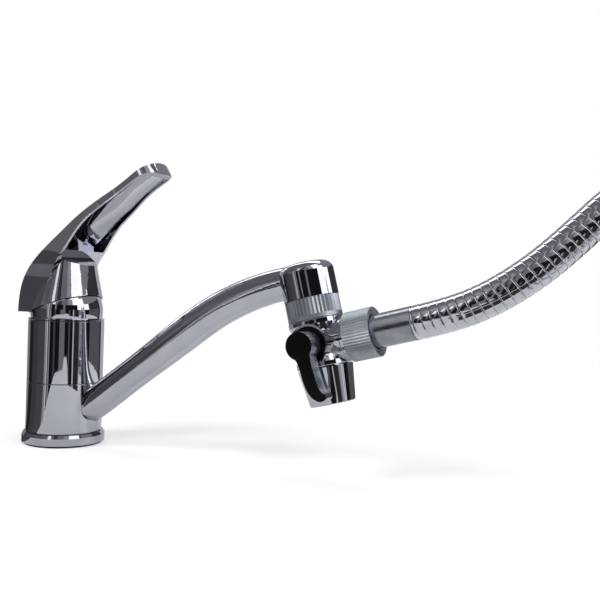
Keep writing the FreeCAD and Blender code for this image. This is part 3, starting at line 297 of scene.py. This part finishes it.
class Finish(Enum):
    """Every finish on the tap."""

    # Cast and turned brass, buffed, nickelled and chrome plated: a cool mirror whose
    # reflections bend a little over the buffed waves.
    CHROME = MetalFinish("polished_chrome", "#CBCDD4", "#C1C4CC", 0.018, 0.04, 14.0, 0.012)
    # Chrome over a cut knurl: duller, with light drawn out along the cuts. The fine marks are
    # 0.5 mm apart, coarser than real ones, so that they show.
    KNURL_CHROME = MetalFinish("knurled_chrome", "#B9BEC5", "#A3A9B2", 0.34, 0.46, 9.0, 0.03,
                               Grain.ALONG_Z, 0.5, 0.04)
    # The same over the finer knurl of the hose nuts, whose axis lies nearly level: a pale satin
    # with lines along the hose, drawn as coarse.
    NUT_CHROME = MetalFinish("knurled_nut_chrome", "#B6BABF", "#9FA5AC", 0.4, 0.52, 9.0, 0.02,
                             Grain.ALONG_X, 0.5, 0.03)
    # Pressed steel sleeve, brushed lengthwise and plated: soft streaks along the hose, also
    # drawn 0.5 mm apart.
    SATIN_CHROME = MetalFinish("satin_chrome", "#A6AAAF", "#82888F", 0.16, 0.26, 10.0, 0.02,
                               Grain.ALONG_X, 0.5, 0.05)
    # Rolled and folded steel strip, plated bright: small mirrors, a little smeared.
    HOSE_STRIP = MetalFinish("wound_chrome_strip", "#D8DADF", "#C4C7CF", 0.06, 0.12, 5.0, 0.01)
    # Free-cutting brass as turned: warm, with fine rings from the tool, drawn coarser than
    # the feed that cuts them.
    BRASS = MetalFinish("turned_brass", "#D8B36A", "#B98F4A", 0.18, 0.34, 8.0, 0.02,
                        Grain.ALONG_Z, 0.4, 0.02)
    # Spring and pin steel, ground: a grey sheen broken by short marks.
    STEEL = MetalFinish("ground_steel", "#B9BBBD", "#8F9397", 0.2, 0.38, 6.0, 0.02,
                        Grain.ALONG_Z, 0.3, 0.02)
    # Moulded black acetal of the stem's gland: deep black, with a weak gloss at its edges.
    BLACK_PLASTIC = MouldedFinish("black_acetal", "#020202", "#050506", 0.26, 0.18, 0.7, 0.004,
                                  mirrored=0.22)
    # Moulded black ABS: the bare face drinks the light, while the sides are coloured as grey
    # metal, a painted sheen that stands in for the light mirrored at their edges.
    BLACK_FACED = FacedFinish("black_abs_with_painted_sheen", "#010101", "#C6C9CE", "#A2A6AC", 0.2, 0.3)
    # Moulded grey acetal of the cartridge: soft and slightly uneven.
    GREY_PLASTIC = MouldedFinish("grey_acetal", "#8C9094", "#7B8085", 0.5, 0.36)
    # Plated ABS plug: paler and flatter than the castings beside it.
    PLUG_PLASTIC = MouldedFinish("plated_plastic_plug", "#A9ADB3", "#979CA3", 0.22, 0.14, 3.0,
                                 0.01)
    # Moulded nitrile rubber: dull, with a faint bloom.
    RUBBER = MouldedFinish("black_rubber", "#161616", "#222120", 0.75, 0.6, 0.4, 0.04)
    # Turned PTFE seats and slip washers: waxy white.
    SEAT = MouldedFinish("white_seat_plastic", "#E6E3DA", "#D8D4C8", 0.4, 0.3, 0.9, 0.01)
    # Lapped alumina discs: white, nearly a mirror.
    CERAMIC = MouldedFinish("lapped_ceramic", "#E9E6DF", "#DEDAD0", 0.14, 0.06, 0.5, 0.004)
    # Moulded nylon strap: black, with marks along its length.
    STRAP = MouldedFinish("black_strap", "#131314", "#1E1E20", 0.6, 0.45, 0.5, 0.04,
                          Grain.ALONG_X)


class Wardrobe:
    """Makes each finish's material once and puts it on CAD nodes and new pieces."""

    def __init__(self) -> None:
        """Starts with no materials."""
        self.made: dict[Finish, bpy.types.Material] = {}

    def material(self, finish: Finish) -> bpy.types.Material:
        """Gives a finish's material.

        Args:
            finish: The finish.

        Returns:
            Its material, made at its first use.
        """
        if finish not in self.made:
            self.made[finish] = finish.value.material()
        return self.made[finish]

    def dress(self, piece: bpy.types.Object, finish: Finish) -> None:
        """Puts a finish all over a piece.

        Args:
            piece: The object to dress.
            finish: Its finish.
        """
        piece.data.materials.clear()
        piece.data.materials.append(self.material(finish))


class Route:
    """A smooth line read from the hose's NURBS spline, with a frame at any distance."""

    def __init__(self, corners: list[Vector], resolution: int) -> None:
        """Reads the line.

        Args:
            corners: The spline's control points.
            resolution: Points read for each control point.
        """
        curve = bpy.data.curves.new("hose_line", "CURVE")
        curve.dimensions = "3D"
        curve.resolution_u = resolution
        spline = curve.splines.new("NURBS")
        spline.points.add(len(corners) - 1)
        for point, corner in zip(spline.points, corners):
            point.co = (*corner, 1.0)
        spline.order_u = 3
        spline.use_endpoint_u = True
        holder = bpy.data.objects.new("hose_line", curve)
        bpy.context.scene.collection.objects.link(holder)
        bpy.context.view_layer.update()
        mesh = bpy.data.meshes.new_from_object(holder)
        self.points = [v.co.copy() for v in mesh.vertices]
        bpy.data.objects.remove(holder)
        bpy.data.meshes.remove(mesh)
        bpy.data.curves.remove(curve)
        self.distances = [0.0]
        for first, second in zip(self.points, self.points[1:]):
            self.distances.append(self.distances[-1] + (second - first).length)
        self.sides = self._carried_sides()

    def _heading(self, index: int) -> Vector:
        """Gives the line's heading at one of its points.

        Args:
            index: The point's place in the line.

        Returns:
            The heading, one long.
        """
        before = self.points[max(index - 1, 0)]
        after = self.points[min(index + 1, len(self.points) - 1)]
        return (after - before).normalized()

    def _carried_sides(self) -> list[Vector]:
        """Carries a side direction along the line without twisting it.

        Returns:
            The side direction at each point.
        """
        side = self._heading(0).orthogonal().normalized()
        sides = []
        for index in range(len(self.points)):
            heading = self._heading(index)
            side = (side - heading * side.dot(heading)).normalized()
            sides.append(side.copy())
        return sides

    @property
    def length(self) -> float:
        """The line's whole length, in metres."""
        return self.distances[-1]

    def at(self, distance: float) -> tuple[Vector, Vector, Vector]:
        """Finds a place on the line.

        Args:
            distance: How far along it, in metres.

        Returns:
            The place and two directions square to the line there.
        """
        distance = min(max(distance, 0.0), self.length)
        index = min(bisect_right(self.distances, distance) - 1, len(self.points) - 2)
        index = max(index, 0)
        share = (distance - self.distances[index]) / max(
            self.distances[index + 1] - self.distances[index], LEAST_STEP)
        place = self.points[index].lerp(self.points[index + 1], share)
        heading = self._heading(index).lerp(self._heading(index + 1), share).normalized()
        side = self.sides[index].lerp(self.sides[index + 1], share)
        side = (side - heading * side.dot(heading)).normalized()
        return place, side, heading.cross(side)


@dataclass
class ShowerHose:
    """The wound-strip shower hose, its hank on the deck and its raised end.

    The radius and the pitch are in metres. The route is in millimetres and degrees, and
    repeats the points of the part's source.
    """

    radius: float = 8.4 * MM
    pitch: float = 4.4 * MM
    sides: int = 24
    # One winding from edge to edge, in millimetres: the way along and the depth under the crown
    winding: tuple[tuple[float, float], ...] = (
        (0.0, 0.45), (0.14, 0.16), (0.3, 0.03), (0.5, 0.0),
        (3.8, 0.0), (4.0, 0.03), (4.16, 0.16), (4.3, 0.45))
    # Points closer than the first are made one, and edges shorter than the second go
    merge: float = 1e-6
    sliver: float = 1e-7
    corners: tuple[tuple[float, float, float], ...] = (
        (216.97, 0.0, 81.42), (236.31, 0.0, 86.5), (255.6, 2.5, 95.9), (273.1, 8.0, 109.0),
        (287.5, 14.8, 123.6), (305.0, 21.5, 142.5), (330.5, 27.7, 159.8), (363.0, 31.0, 169.7),
        (396.7, 32.0, 165.5), (425.8, 32.0, 148.0), (445.3, 32.0, 120.2), (455.8, 32.0, 87.9),
        (473.8, 32.0, 56.7), (500.6, 32.0, 35.8), (535.0, 32.0, 27.2), (553.0, 32.0, 27.2))
    far_fold: tuple[float, float] = (555.0, -18.0)
    near_fold: tuple[float, float] = (440.0, -18.0)
    fold_radius: float = 50.0
    # The back run comes down from the upper turn to the lower one between these two
    back_run: tuple[float, float] = (515.0, 466.0)
    low_height: float = 9.6
    top_height: float = 27.2
    end_turn: float = 220.0
    end_bend: float = 9.46
    end_shares: tuple[float, float] = (0.1, 1.0)
    hose_end: tuple[float, float, float] = (495.788, -33.586, 15.101)
    # Control points for a whole turn, and line points read for each control point
    turn_points: int = 16
    line_points: int = 20

    def _fold(self, centre: tuple[float, float], start: float, turn: float,
              height: float) -> list[Vector]:
        """Gives the corners that hold the spline on a fold, clockwise from above.

        Args:
            centre: The fold's centre, in millimetres.
            start: The angle it starts at, in degrees.
            turn: How far it turns, in degrees.
            height: The height of its line, in millimetres.

        Returns:
            Points just outside the fold, whose spline lies on it.
        """
        count = max(2, round(turn * self.turn_points / 360))
        step = turn / count
        reach = self.fold_radius / math.cos(math.radians(step / 2))
        corners = []
        for index in range(count):
            angle = math.radians(start - step * (index + 0.5))
            corners.append(Vector((centre[0] + reach * math.cos(angle),
                                   centre[1] + reach * math.sin(angle), height)))
        return corners

    def spline_corners(self) -> list[Vector]:
        """Gives the whole route's control points.

        Returns:
            The points of the free stretch, the hank's folds and the raised end, in metres.
        """
        back = self.far_fold[1] - self.fold_radius
        corners = [Vector(c) for c in self.corners]
        corners += self._fold(self.far_fold, 90, 180, self.top_height)
        corners += [Vector((along, back, height)) for along, height in
                    zip(self.back_run, (self.top_height, self.low_height))]
        corners += self._fold(self.near_fold, -90, 180, self.low_height)
        corners += self._fold(self.far_fold, 90, self.end_turn, self.low_height)
        angle = math.radians(90 - self.end_turn)
        last = Vector((self.far_fold[0] + self.fold_radius * math.cos(angle),
                       self.far_fold[1] + self.fold_radius * math.sin(angle), self.low_height))
        inward = Vector((math.sin(angle), -math.cos(angle), 0.0))
        corners += [last + inward * share * self.end_bend for share in self.end_shares]
        corners.append(Vector(self.hose_end))
        return [c * MM for c in corners]

    def _wind(self, route: Route) -> bmesh.types.BMesh:
        """Winds the strip round the route, with its ends closed.

        Args:
            route: The hose's middle line.

        Returns:
            The hose's skin.
        """
        profile = [(along * MM, self.radius - depth * MM) for along, depth in self.winding]
        windings = math.ceil(route.length / self.pitch) + 1
        bm = bmesh.new()
        rows = []
        for winding in range(-1, windings):
            for along, radius in profile:
                row = []
                for step in range(self.sides):
                    turn = step / self.sides
                    place, side, other = route.at((winding + turn) * self.pitch + along)
                    angle = 2 * math.pi * turn
                    row.append(bm.verts.new(place + side * (radius * math.cos(angle))
                                            + other * (radius * math.sin(angle))))
                rows.append(row)
        # The last side of a row meets the first side of the row one winding on
        count = len(profile)
        for index, row in enumerate(rows[:-1]):
            above = rows[index + 1]
            for step in range(self.sides - 1):
                bm.faces.new((row[step], row[step + 1], above[step + 1], above[step]))
            if index + count + 1 < len(rows):
                bm.faces.new((row[-1], rows[index + count][0], rows[index + count + 1][0],
                              above[-1]))
        bmesh.ops.remove_doubles(bm, verts=bm.verts, dist=self.merge)
        bmesh.ops.dissolve_degenerate(bm, edges=bm.edges, dist=self.sliver)
        bmesh.ops.holes_fill(bm, edges=[e for e in bm.edges if e.is_boundary], sides=0)
        bmesh.ops.recalc_face_normals(bm, faces=bm.faces)
        return bm

    def build(self, wardrobe: Wardrobe) -> bpy.types.Object:
        """Args:
            wardrobe: Gives the hose's finish.

        Returns:
            The hose.
        """
        corners = self.spline_corners()
        route = Route(corners, self.line_points)
        hose = new_piece("wound_shower_hose", self._wind(route), smooth=True)
        wardrobe.dress(hose, Finish.HOSE_STRIP)
        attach(hose, "spout_arm")
        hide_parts("hose", "hose_hank")
        LOG.info("hose %.3f m, %d faces", route.length, len(hose.data.polygons))
        return hose


def new_piece(name: str, bm: bmesh.types.BMesh, smooth: bool = False) -> bpy.types.Object:
    """Turns a bmesh into an object at the origin.

    Args:
        name: The object's name.
        bm: Its shape, which is freed.
        smooth: Whether its faces are shaded smooth.

    Returns:
        The new object.
    """
    mesh = bpy.data.meshes.new(name)
    bm.to_mesh(mesh)
    bm.free()
    if smooth:
        mesh.shade_smooth()
    piece = bpy.data.objects.new(name, mesh)
    bpy.context.scene.collection.objects.link(piece)
    return piece


@dataclass
class Assembly:
    """A group of CAD nodes that are dressed together."""

    title: str
    finishes: dict[Finish, tuple[str, ...]] = field(default_factory=dict)

    def dress(self, wardrobe: Wardrobe) -> None:
        """Dresses the group's CAD nodes.

        Args:
            wardrobe: Gives the finishes.
        """
        for finish, names in self.finishes.items():
            for name in names:
                wardrobe.dress(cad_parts[name], finish)
                LOG.info("%s: %s in %s", self.title, name, finish.value.name)


@dataclass
class Column(Assembly):
    """The base, the barrel with its seals and the cap over the ball."""

    title: str = "column"
    finishes: dict[Finish, tuple[str, ...]] = field(default_factory=lambda: {
        Finish.CHROME: ("base_ring", "body", "ball_cap"),
        Finish.RUBBER: ("base_gasket", "o_ring_lower", "o_ring_upper", "port_seal_hot",
                        "port_seal_cold", "port_seal_out"),
        Finish.SEAT: ("slip_washer_lower", "slip_washer_upper"),
    })


@dataclass
class Cartridge(Assembly):
    """The ceramic cartridge and the ring that clamps it."""

    title: str = "cartridge"
    finishes: dict[Finish, tuple[str, ...]] = field(default_factory=lambda: {
        Finish.GREY_PLASTIC: ("cartridge_housing", "rotor", "disc_carrier"),
        Finish.CERAMIC: ("fixed_disc", "moving_disc"),
        Finish.BRASS: ("retaining_nut", "spindle"),
        Finish.STEEL: ("pivot_pin",),
    })


@dataclass
class Spout(Assembly):
    """The swivelling arm and the valve fittings on its mouth."""

    title: str = "spout"
    finishes: dict[Finish, tuple[str, ...]] = field(default_factory=lambda: {
        Finish.CHROME: ("spout_hub", "spout", "valve_body", "outlet_cone", "branch_collar"),
        Finish.KNURL_CHROME: ("spout_nut",),
        Finish.STEEL: ("snap_ring",),
        Finish.RUBBER: ("inlet_gasket", "stem_seal", "outlet_gasket"),
        Finish.SEAT: ("seat_inlet", "seat_outlet", "seat_branch"),
        Finish.BLACK_PLASTIC: ("bonnet",),
        Finish.GREY_PLASTIC: ("flow_straightener",),
        Finish.BRASS: ("branch_nipple",),
    })


@dataclass
class HoseFittings(Assembly):
    """The nuts, gaskets, tails and ferrules at both ends of the hose."""

    title: str = "hose fittings"
    finishes: dict[Finish, tuple[str, ...]] = field(default_factory=lambda: {
        Finish.NUT_CHROME: ("hose_nut", "end_nut"),
        Finish.SATIN_CHROME: ("hose_ferrule", "end_ferrule"),
        Finish.BRASS: ("hose_tail", "end_tail"),
        Finish.RUBBER: ("hose_gasket", "end_gasket"),
        Finish.STRAP: ("hose_tie",),
    })


@dataclass
class Diverter(Assembly):
    """The ball and the small side lever that turns it."""

    title: str = "diverter"
    finishes: dict[Finish, tuple[str, ...]] = field(default_factory=lambda: {
        Finish.CHROME: ("valve_ball",),
        Finish.BLACK_FACED: ("diverter_lever",),
    })


@dataclass
class Handle(Assembly):
    """The lever, its plug and its grub screw."""

    title: str = "handle"
    finishes: dict[Finish, tuple[str, ...]] = field(default_factory=lambda: {
        Finish.CHROME: ("lever_handle",),
        Finish.PLUG_PLASTIC: ("lever_plug",),
        Finish.STEEL: ("grub_screw",),
    })


@dataclass
class Camera:
    """The camera at the photograph's place, in metres, degrees and lens millimetres."""

    place: tuple[float, float, float] = (0.324357, -0.353447, 0.094342)
    heading: float = 25.534
    drop: float = 0.574
    roll: float = 1.847
    lens: float = 45.59
    sensor: float = 36.0
    nearest: float = 0.01

    def build(self) -> None:
        """Makes the camera and hands it to the scene."""
        data = bpy.data.cameras.new("camera")
        data.lens = self.lens
        data.sensor_width = self.sensor
        data.clip_start = self.nearest
        camera = bpy.data.objects.new("camera", data)
        camera.matrix_world = (
            Matrix.Translation(self.place)
            @ Matrix.Rotation(math.radians(self.heading), 4, "Z")
            @ Matrix.Rotation(math.radians(90 - self.drop), 4, "X")
            @ Matrix.Rotation(math.radians(self.roll), 4, "Z"))
        bpy.context.scene.collection.objects.link(camera)
        bpy.context.scene.camera = camera


@dataclass(frozen=True)
class Wall:
    """A ring of studio cards round the column, from one height to another.

    Each card has the angles at which it starts and ends, in degrees, and a grey level.
    """

    name: str
    low: float
    high: float
    cards: tuple[tuple[float, float, float], ...]
    on_floor: bool = False


@dataclass(frozen=True)
class Panel:
    """A level studio card over the object."""

    name: str
    size: tuple[float, float]
    middle: tuple[float, float, float]
    light: float
    cells: int


@dataclass(frozen=True)
class Lamp:
    """A soft lamp: where it hangs, what it points at, its size and its power in watts."""

    name: str
    place: tuple[float, float, float]
    target: tuple[float, float, float]
    size: tuple[float, float]
    power: float


@dataclass
class Studio:
    """Floor, world, lamps and the cards that the chrome mirrors."""

    walls: tuple[Wall, ...] = (
        Wall("low_wall", 0.0, 0.13, (
            (-201, -183, 0.25), (-183, -161, 0.02), (-161, -139, 0.06), (-139, -113, 0.08),
            (-113, -106, 0.34), (-106, -104, 0.9), (-104, -101, 0.03), (-101, -97, 0.3),
            (-97, -86, 0.01), (-86, -81, 0.08), (-81, -68, 0.01), (-68, -53, 0.2),
            (-53, -42, 0.01), (-42, -38, 0.1), (-38, -29.5, 0.01), (-29.5, -26, 0.6),
            (-26, -11, 0.03), (-11, -8, 0.24), (-8, 0, 0.45), (0, 8, 0.9), (8, 25, 0.01),
            (25, 70, 0.12), (70, 80, 0.04), (80, 90, 0.55), (90, 130, 0.5), (130, 159, 0.25)),
            on_floor=True),
        Wall("head_wall", 0.13, 0.3, (
            (-201, -139, 0.1), (-139, -113, 0.17), (-113, -106, 0.34), (-106, -104, 0.9),
            (-104, -101, 0.03), (-101, -97, 0.3), (-97, -86, 0.01), (-86, -81, 0.3),
            (-81, -60, 0.01), (-60, -53, 0.2), (-53, -15, 0.01), (-15, 25, 1.7),
            (25, 70, 0.05), (70, 80, 0.04), (80, 90, 0.55), (90, 159, 0.5))),
        Wall("middle_wall", 0.3, 0.55, (
            (-201, -113, 0.13), (-113, -104, 0.16), (-104, -96, 0.2), (-96, -86, 1.2),
            (-86, -78, 0.2), (-78, -66, 0.05), (-66, -45, 0.2), (-45, -30, 0.36),
            (-30, 8, 1.7), (8, 70, 0.26), (70, 100, 0.3), (100, 146, 0.3), (146, 159, 2.4))),
        Wall("high_wall", 0.55, 1.0, (
            (-201, -113, 0.15), (-113, -96, 0.18), (-96, -78, 0.3), (-78, -60, 0.15),
            (-60, -37, 0.45), (-37, -5, 2.0), (-5, 70, 0.28), (70, 128, 0.3),
            (128, 150, 2.2), (150, 159, 0.3))),
    )
    wall_reach: float = 0.6
    # A curved card has a straight side about every so many degrees
    card_step: float = 4.0
    # Where the ring of cards starts and ends, in degrees
    ring_end: float = 159.5
    # The foot of a card lies this high over the floor, and stays this far from its wall
    foot_height: float = 0.0004
    foot_gap: float = 0.004
    # How far the bare floor reaches from the column, by direction in degrees
    lit_floor: tuple[tuple[float, float], ...] = (
        (-201, 0.024), (-130, 0.024), (-108, 0.1), (-78, 0.41), (-55, 0.44), (-53, 0.6),
        (-43, 0.6), (-41, 0.31), (-11, 0.26), (-9, 0.55), (20, 0.55), (60, 0.4), (75, 0.3),
        (90, 0.05), (159, 0.024))
    panels: tuple[Panel, ...] = (
        Panel("ceiling", (2.4, 2.4), (0.0, 0.0, 1.0), 0.16, cells=4),
        Panel("ceiling_panel", (1.8, 0.53), (0.4, 0.425, 0.99), 2.6, cells=2),
    )
    card_tint: tuple[float, float, float] = (1.0, 1.0, 1.05)
    floor_shade: str = "#D8D8D8"
    floor_glow: float = 0.36
    floor_mirrored: float = 0.09
    floor_reach: float = 6.0
    # The floor turns white between these distances from a point under the spout
    white_from: float = 0.35
    white_to: float = 1.0
    white_middle: tuple[float, float, float] = (0.2, 0.0, 0.0)
    sky_colour: tuple[float, float, float, float] = (0.95, 0.97, 1.0, 1.0)
    sky_light: float = 0.45
    lamps: tuple[Lamp, ...] = (
        Lamp("key", (-0.6, -1.0, 1.3), (0.12, 0.0, 0.08), (0.7, 0.7), 12.0),
        Lamp("fill", (1.2, -0.9, 1.1), (0.12, 0.0, 0.08), (0.9, 0.6), 6.0),
        Lamp("top", (0.2, 0.2, 1.45), (0.2, 0.0, 0.0), (0.9, 0.5), 6.0),
    )

    def _emitter(self, name: str, light: float) -> bpy.types.Material:
        """Makes a card's material.

        Args:
            name: The material's name.
            light: Its grey level, where 1 is white.

        Returns:
            The material.
        """
        material = bpy.data.materials.new(name)
        graph = Graph(material)
        glow = graph.node("ShaderNodeEmission", {
            "Color": (*(light * part for part in self.card_tint), 1.0), "Strength": 1.0})
        graph.node("ShaderNodeOutputMaterial", {"Surface": glow.outputs["Emission"]})
        return material

    def _finish_card(self, name: str, bm: bmesh.types.BMesh, light: float) -> None:
        """Makes a card's object and leaves it visible to reflections alone.

        Args:
            name: The card's name.
            bm: Its shape, which is freed.
            light: Its grey level, where 1 is white.
        """
        card = new_piece(name, bm)
        card.data.materials.append(self._emitter(name, light))
        card.visible_camera = False
        card.visible_diffuse = False
        card.visible_shadow = False
        card.visible_transmission = False
        card.visible_volume_scatter = False

    def _floor_edge(self, angle: float) -> float:
        """Gives how far the bare floor reaches from the column in one direction.

        Args:
            angle: The direction, in degrees.

        Returns:
            The distance, in metres.
        """
        for (start, near), (end, far) in zip(self.lit_floor, self.lit_floor[1:]):
            if start <= angle <= end:
                return near + (far - near) * (angle - start) / (end - start)
        return self.lit_floor[0][1]

    def _stand(self, wall: Wall, index: int) -> None:
        """Stands one curved card, with its foot drawn inward over the floor.

        Args:
            wall: The ring that it belongs to.
            index: Its place in the ring.
        """
        start, end, light = wall.cards[index]
        steps = max(2, round((end - start) / self.card_step))
        bm = bmesh.new()
        foot = bm.verts.new((self.wall_reach, 0.0, wall.low))
        top = bm.verts.new((self.wall_reach, 0.0, wall.high))
        edge = bm.edges.new((foot, top))
        bmesh.ops.rotate(bm, verts=[foot, top], cent=(0, 0, 0),
                         matrix=Matrix.Rotation(math.radians(start), 3, "Z"))
        bmesh.ops.spin(bm, geom=[foot, top, edge], cent=(0, 0, 0), axis=(0, 0, 1),
                       angle=math.radians(end - start), steps=steps, use_merge=False)
        if wall.on_floor:
            ground = wall.low + self.foot_height
            rim = [e for e in bm.edges if all(v.co.z < ground for v in e.verts)]
            drawn = bmesh.ops.extrude_edge_only(bm, edges=rim)["geom"]
            for vert in (g for g in drawn if isinstance(g, bmesh.types.BMVert)):
                angle = math.degrees(math.atan2(vert.co.y, vert.co.x))
                inner = self._floor_edge(angle if angle < self.ring_end else angle - 360)
                share = min(inner, self.wall_reach - self.foot_gap) / self.wall_reach
                vert.co = Vector((vert.co.x * share, vert.co.y * share, self.foot_height))
        self._finish_card(f"{wall.name}_{index:02d}", bm, light)

    def _hang(self, panel: Panel) -> None:
        """Hangs one level card.

        Args:
            panel: The card.
        """
        bm = bmesh.new()
        # Half a metre to each side, so that the scale is the size
        bmesh.ops.create_grid(bm, x_segments=panel.cells, y_segments=panel.cells, size=0.5)
        bmesh.ops.scale(bm, verts=bm.verts, vec=(*panel.size, 1.0))
        bmesh.ops.translate(bm, verts=bm.verts, vec=panel.middle)
        self._finish_card(panel.name, bm, panel.light)

    def build_cards(self) -> None:
        """Stands the walls round the object and hangs the panels over it."""
        for wall in self.walls:
            for index in range(len(wall.cards)):
                self._stand(wall, index)
        for panel in self.panels:
            self._hang(panel)

    def build_floor(self) -> None:
        """Lays a pale floor that keeps the object's shadow and turns white far off."""
        material = bpy.data.materials.new("pale_floor")
        graph = Graph(material)
        seen = graph.node("ShaderNodeLightPath")
        viewed = graph.node("ShaderNodeMath", {
            0: seen.outputs["Is Camera Ray"], 1: seen.outputs["Is Transmission Ray"]},
            operation="MAXIMUM")
        # Matt white board: it scatters all light and mirrors none
        board = graph.node("ShaderNodeBsdfDiffuse", {
            "Color": linear(self.floor_shade), "Roughness": 1.0}).outputs["BSDF"]
        for ray, strength in ((viewed.outputs["Value"], self.floor_glow),
                              (seen.outputs["Is Glossy Ray"], self.floor_mirrored)):
            level = graph.node("ShaderNodeMath", {0: ray, 1: strength}, operation="MULTIPLY")
            glow = graph.node("ShaderNodeEmission", {"Strength": level.outputs["Value"]})
            board = graph.node("ShaderNodeAddShader", {
                0: board, 1: glow.outputs["Emission"]}).outputs["Shader"]
        place = graph.node("ShaderNodeTexCoord")
        away = graph.node("ShaderNodeVectorMath", {
            0: place.outputs["Object"], 1: self.white_middle}, operation="DISTANCE")
        far = graph.node("ShaderNodeMapRange", {
            "Value": away.outputs["Value"], "From Min": self.white_from,
            "From Max": self.white_to})
        fade = graph.node("ShaderNodeMath", {
            0: far.outputs["Result"], 1: viewed.outputs["Value"]}, operation="MULTIPLY")
        white = graph.node("ShaderNodeEmission", {"Strength": 1.0})
        choice = graph.node("ShaderNodeMixShader", {
            0: fade.outputs["Value"], 1: board, 2: white.outputs["Emission"]})
        graph.node("ShaderNodeOutputMaterial", {"Surface": choice.outputs["Shader"]})
        bm = bmesh.new()
        bmesh.ops.create_grid(bm, x_segments=2, y_segments=2, size=self.floor_reach)
        floor = new_piece("floor", bm)
        floor.data.materials.append(material)

    def build_world(self) -> None:
        """Makes a world that is white where it is seen and plain where it lights."""
        world = bpy.data.worlds.new("studio")
        bpy.context.scene.world = world
        graph = Graph(world)
        path = graph.node("ShaderNodeLightPath")
        direct = graph.node("ShaderNodeMath", {
            0: path.outputs["Is Camera Ray"], 1: path.outputs["Is Glossy Ray"]},
            operation="MAXIMUM")
        seen = graph.node("ShaderNodeMath", {
            0: direct.outputs["Value"], 1: path.outputs["Is Transmission Ray"]},
            operation="MAXIMUM")
        light = graph.node("ShaderNodeBackground", {
            "Color": self.sky_colour, "Strength": self.sky_light})
        white = graph.node("ShaderNodeBackground", {
            "Color": (1.0, 1.0, 1.0, 1.0), "Strength": 1.0})
        choice = graph.node("ShaderNodeMixShader", {
            0: seen.outputs["Value"], 1: light.outputs["Background"],
            2: white.outputs["Background"]})
        graph.node("ShaderNodeOutputWorld", {"Surface": choice.outputs["Shader"]})

    def build_lamp(self, lamp: Lamp) -> None:
        """Hangs one soft lamp.

        Args:
            lamp: The lamp.
        """
        data = bpy.data.lights.new(lamp.name, "AREA")
        data.shape = "RECTANGLE"
        data.size, data.size_y = lamp.size
        data.energy = lamp.power
        made = bpy.data.objects.new(lamp.name, data)
        made.location = lamp.place
        aim = Vector(lamp.target) - Vector(lamp.place)
        made.rotation_mode = "QUATERNION"
        made.rotation_quaternion = aim.to_track_quat("-Z", "Y")
        made.visible_camera = False
        bpy.context.scene.collection.objects.link(made)

    def build(self) -> None:
        """Builds the whole studio."""
        self.build_floor()
        self.build_world()
        self.build_cards()
        for lamp in self.lamps:
            self.build_lamp(lamp)
        LOG.info("studio with %d cards", sum(len(wall.cards) for wall in self.walls))


def main() -> None:
    """Builds every class in order."""
    logging.basicConfig(level=logging.INFO, format="%(name)s: %(message)s")
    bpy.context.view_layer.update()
    Camera().build()
    wardrobe = Wardrobe()
    ShowerHose().build(wardrobe)
    for group in (Column(), Cartridge(), Spout(), HoseFittings(), Diverter(), Handle()):
        group.dress(wardrobe)
    Studio().build()
    bpy.context.scene.view_settings.view_transform = "Standard"
    LOG.info("sizes written")


if __name__ == "__main__":
    main()
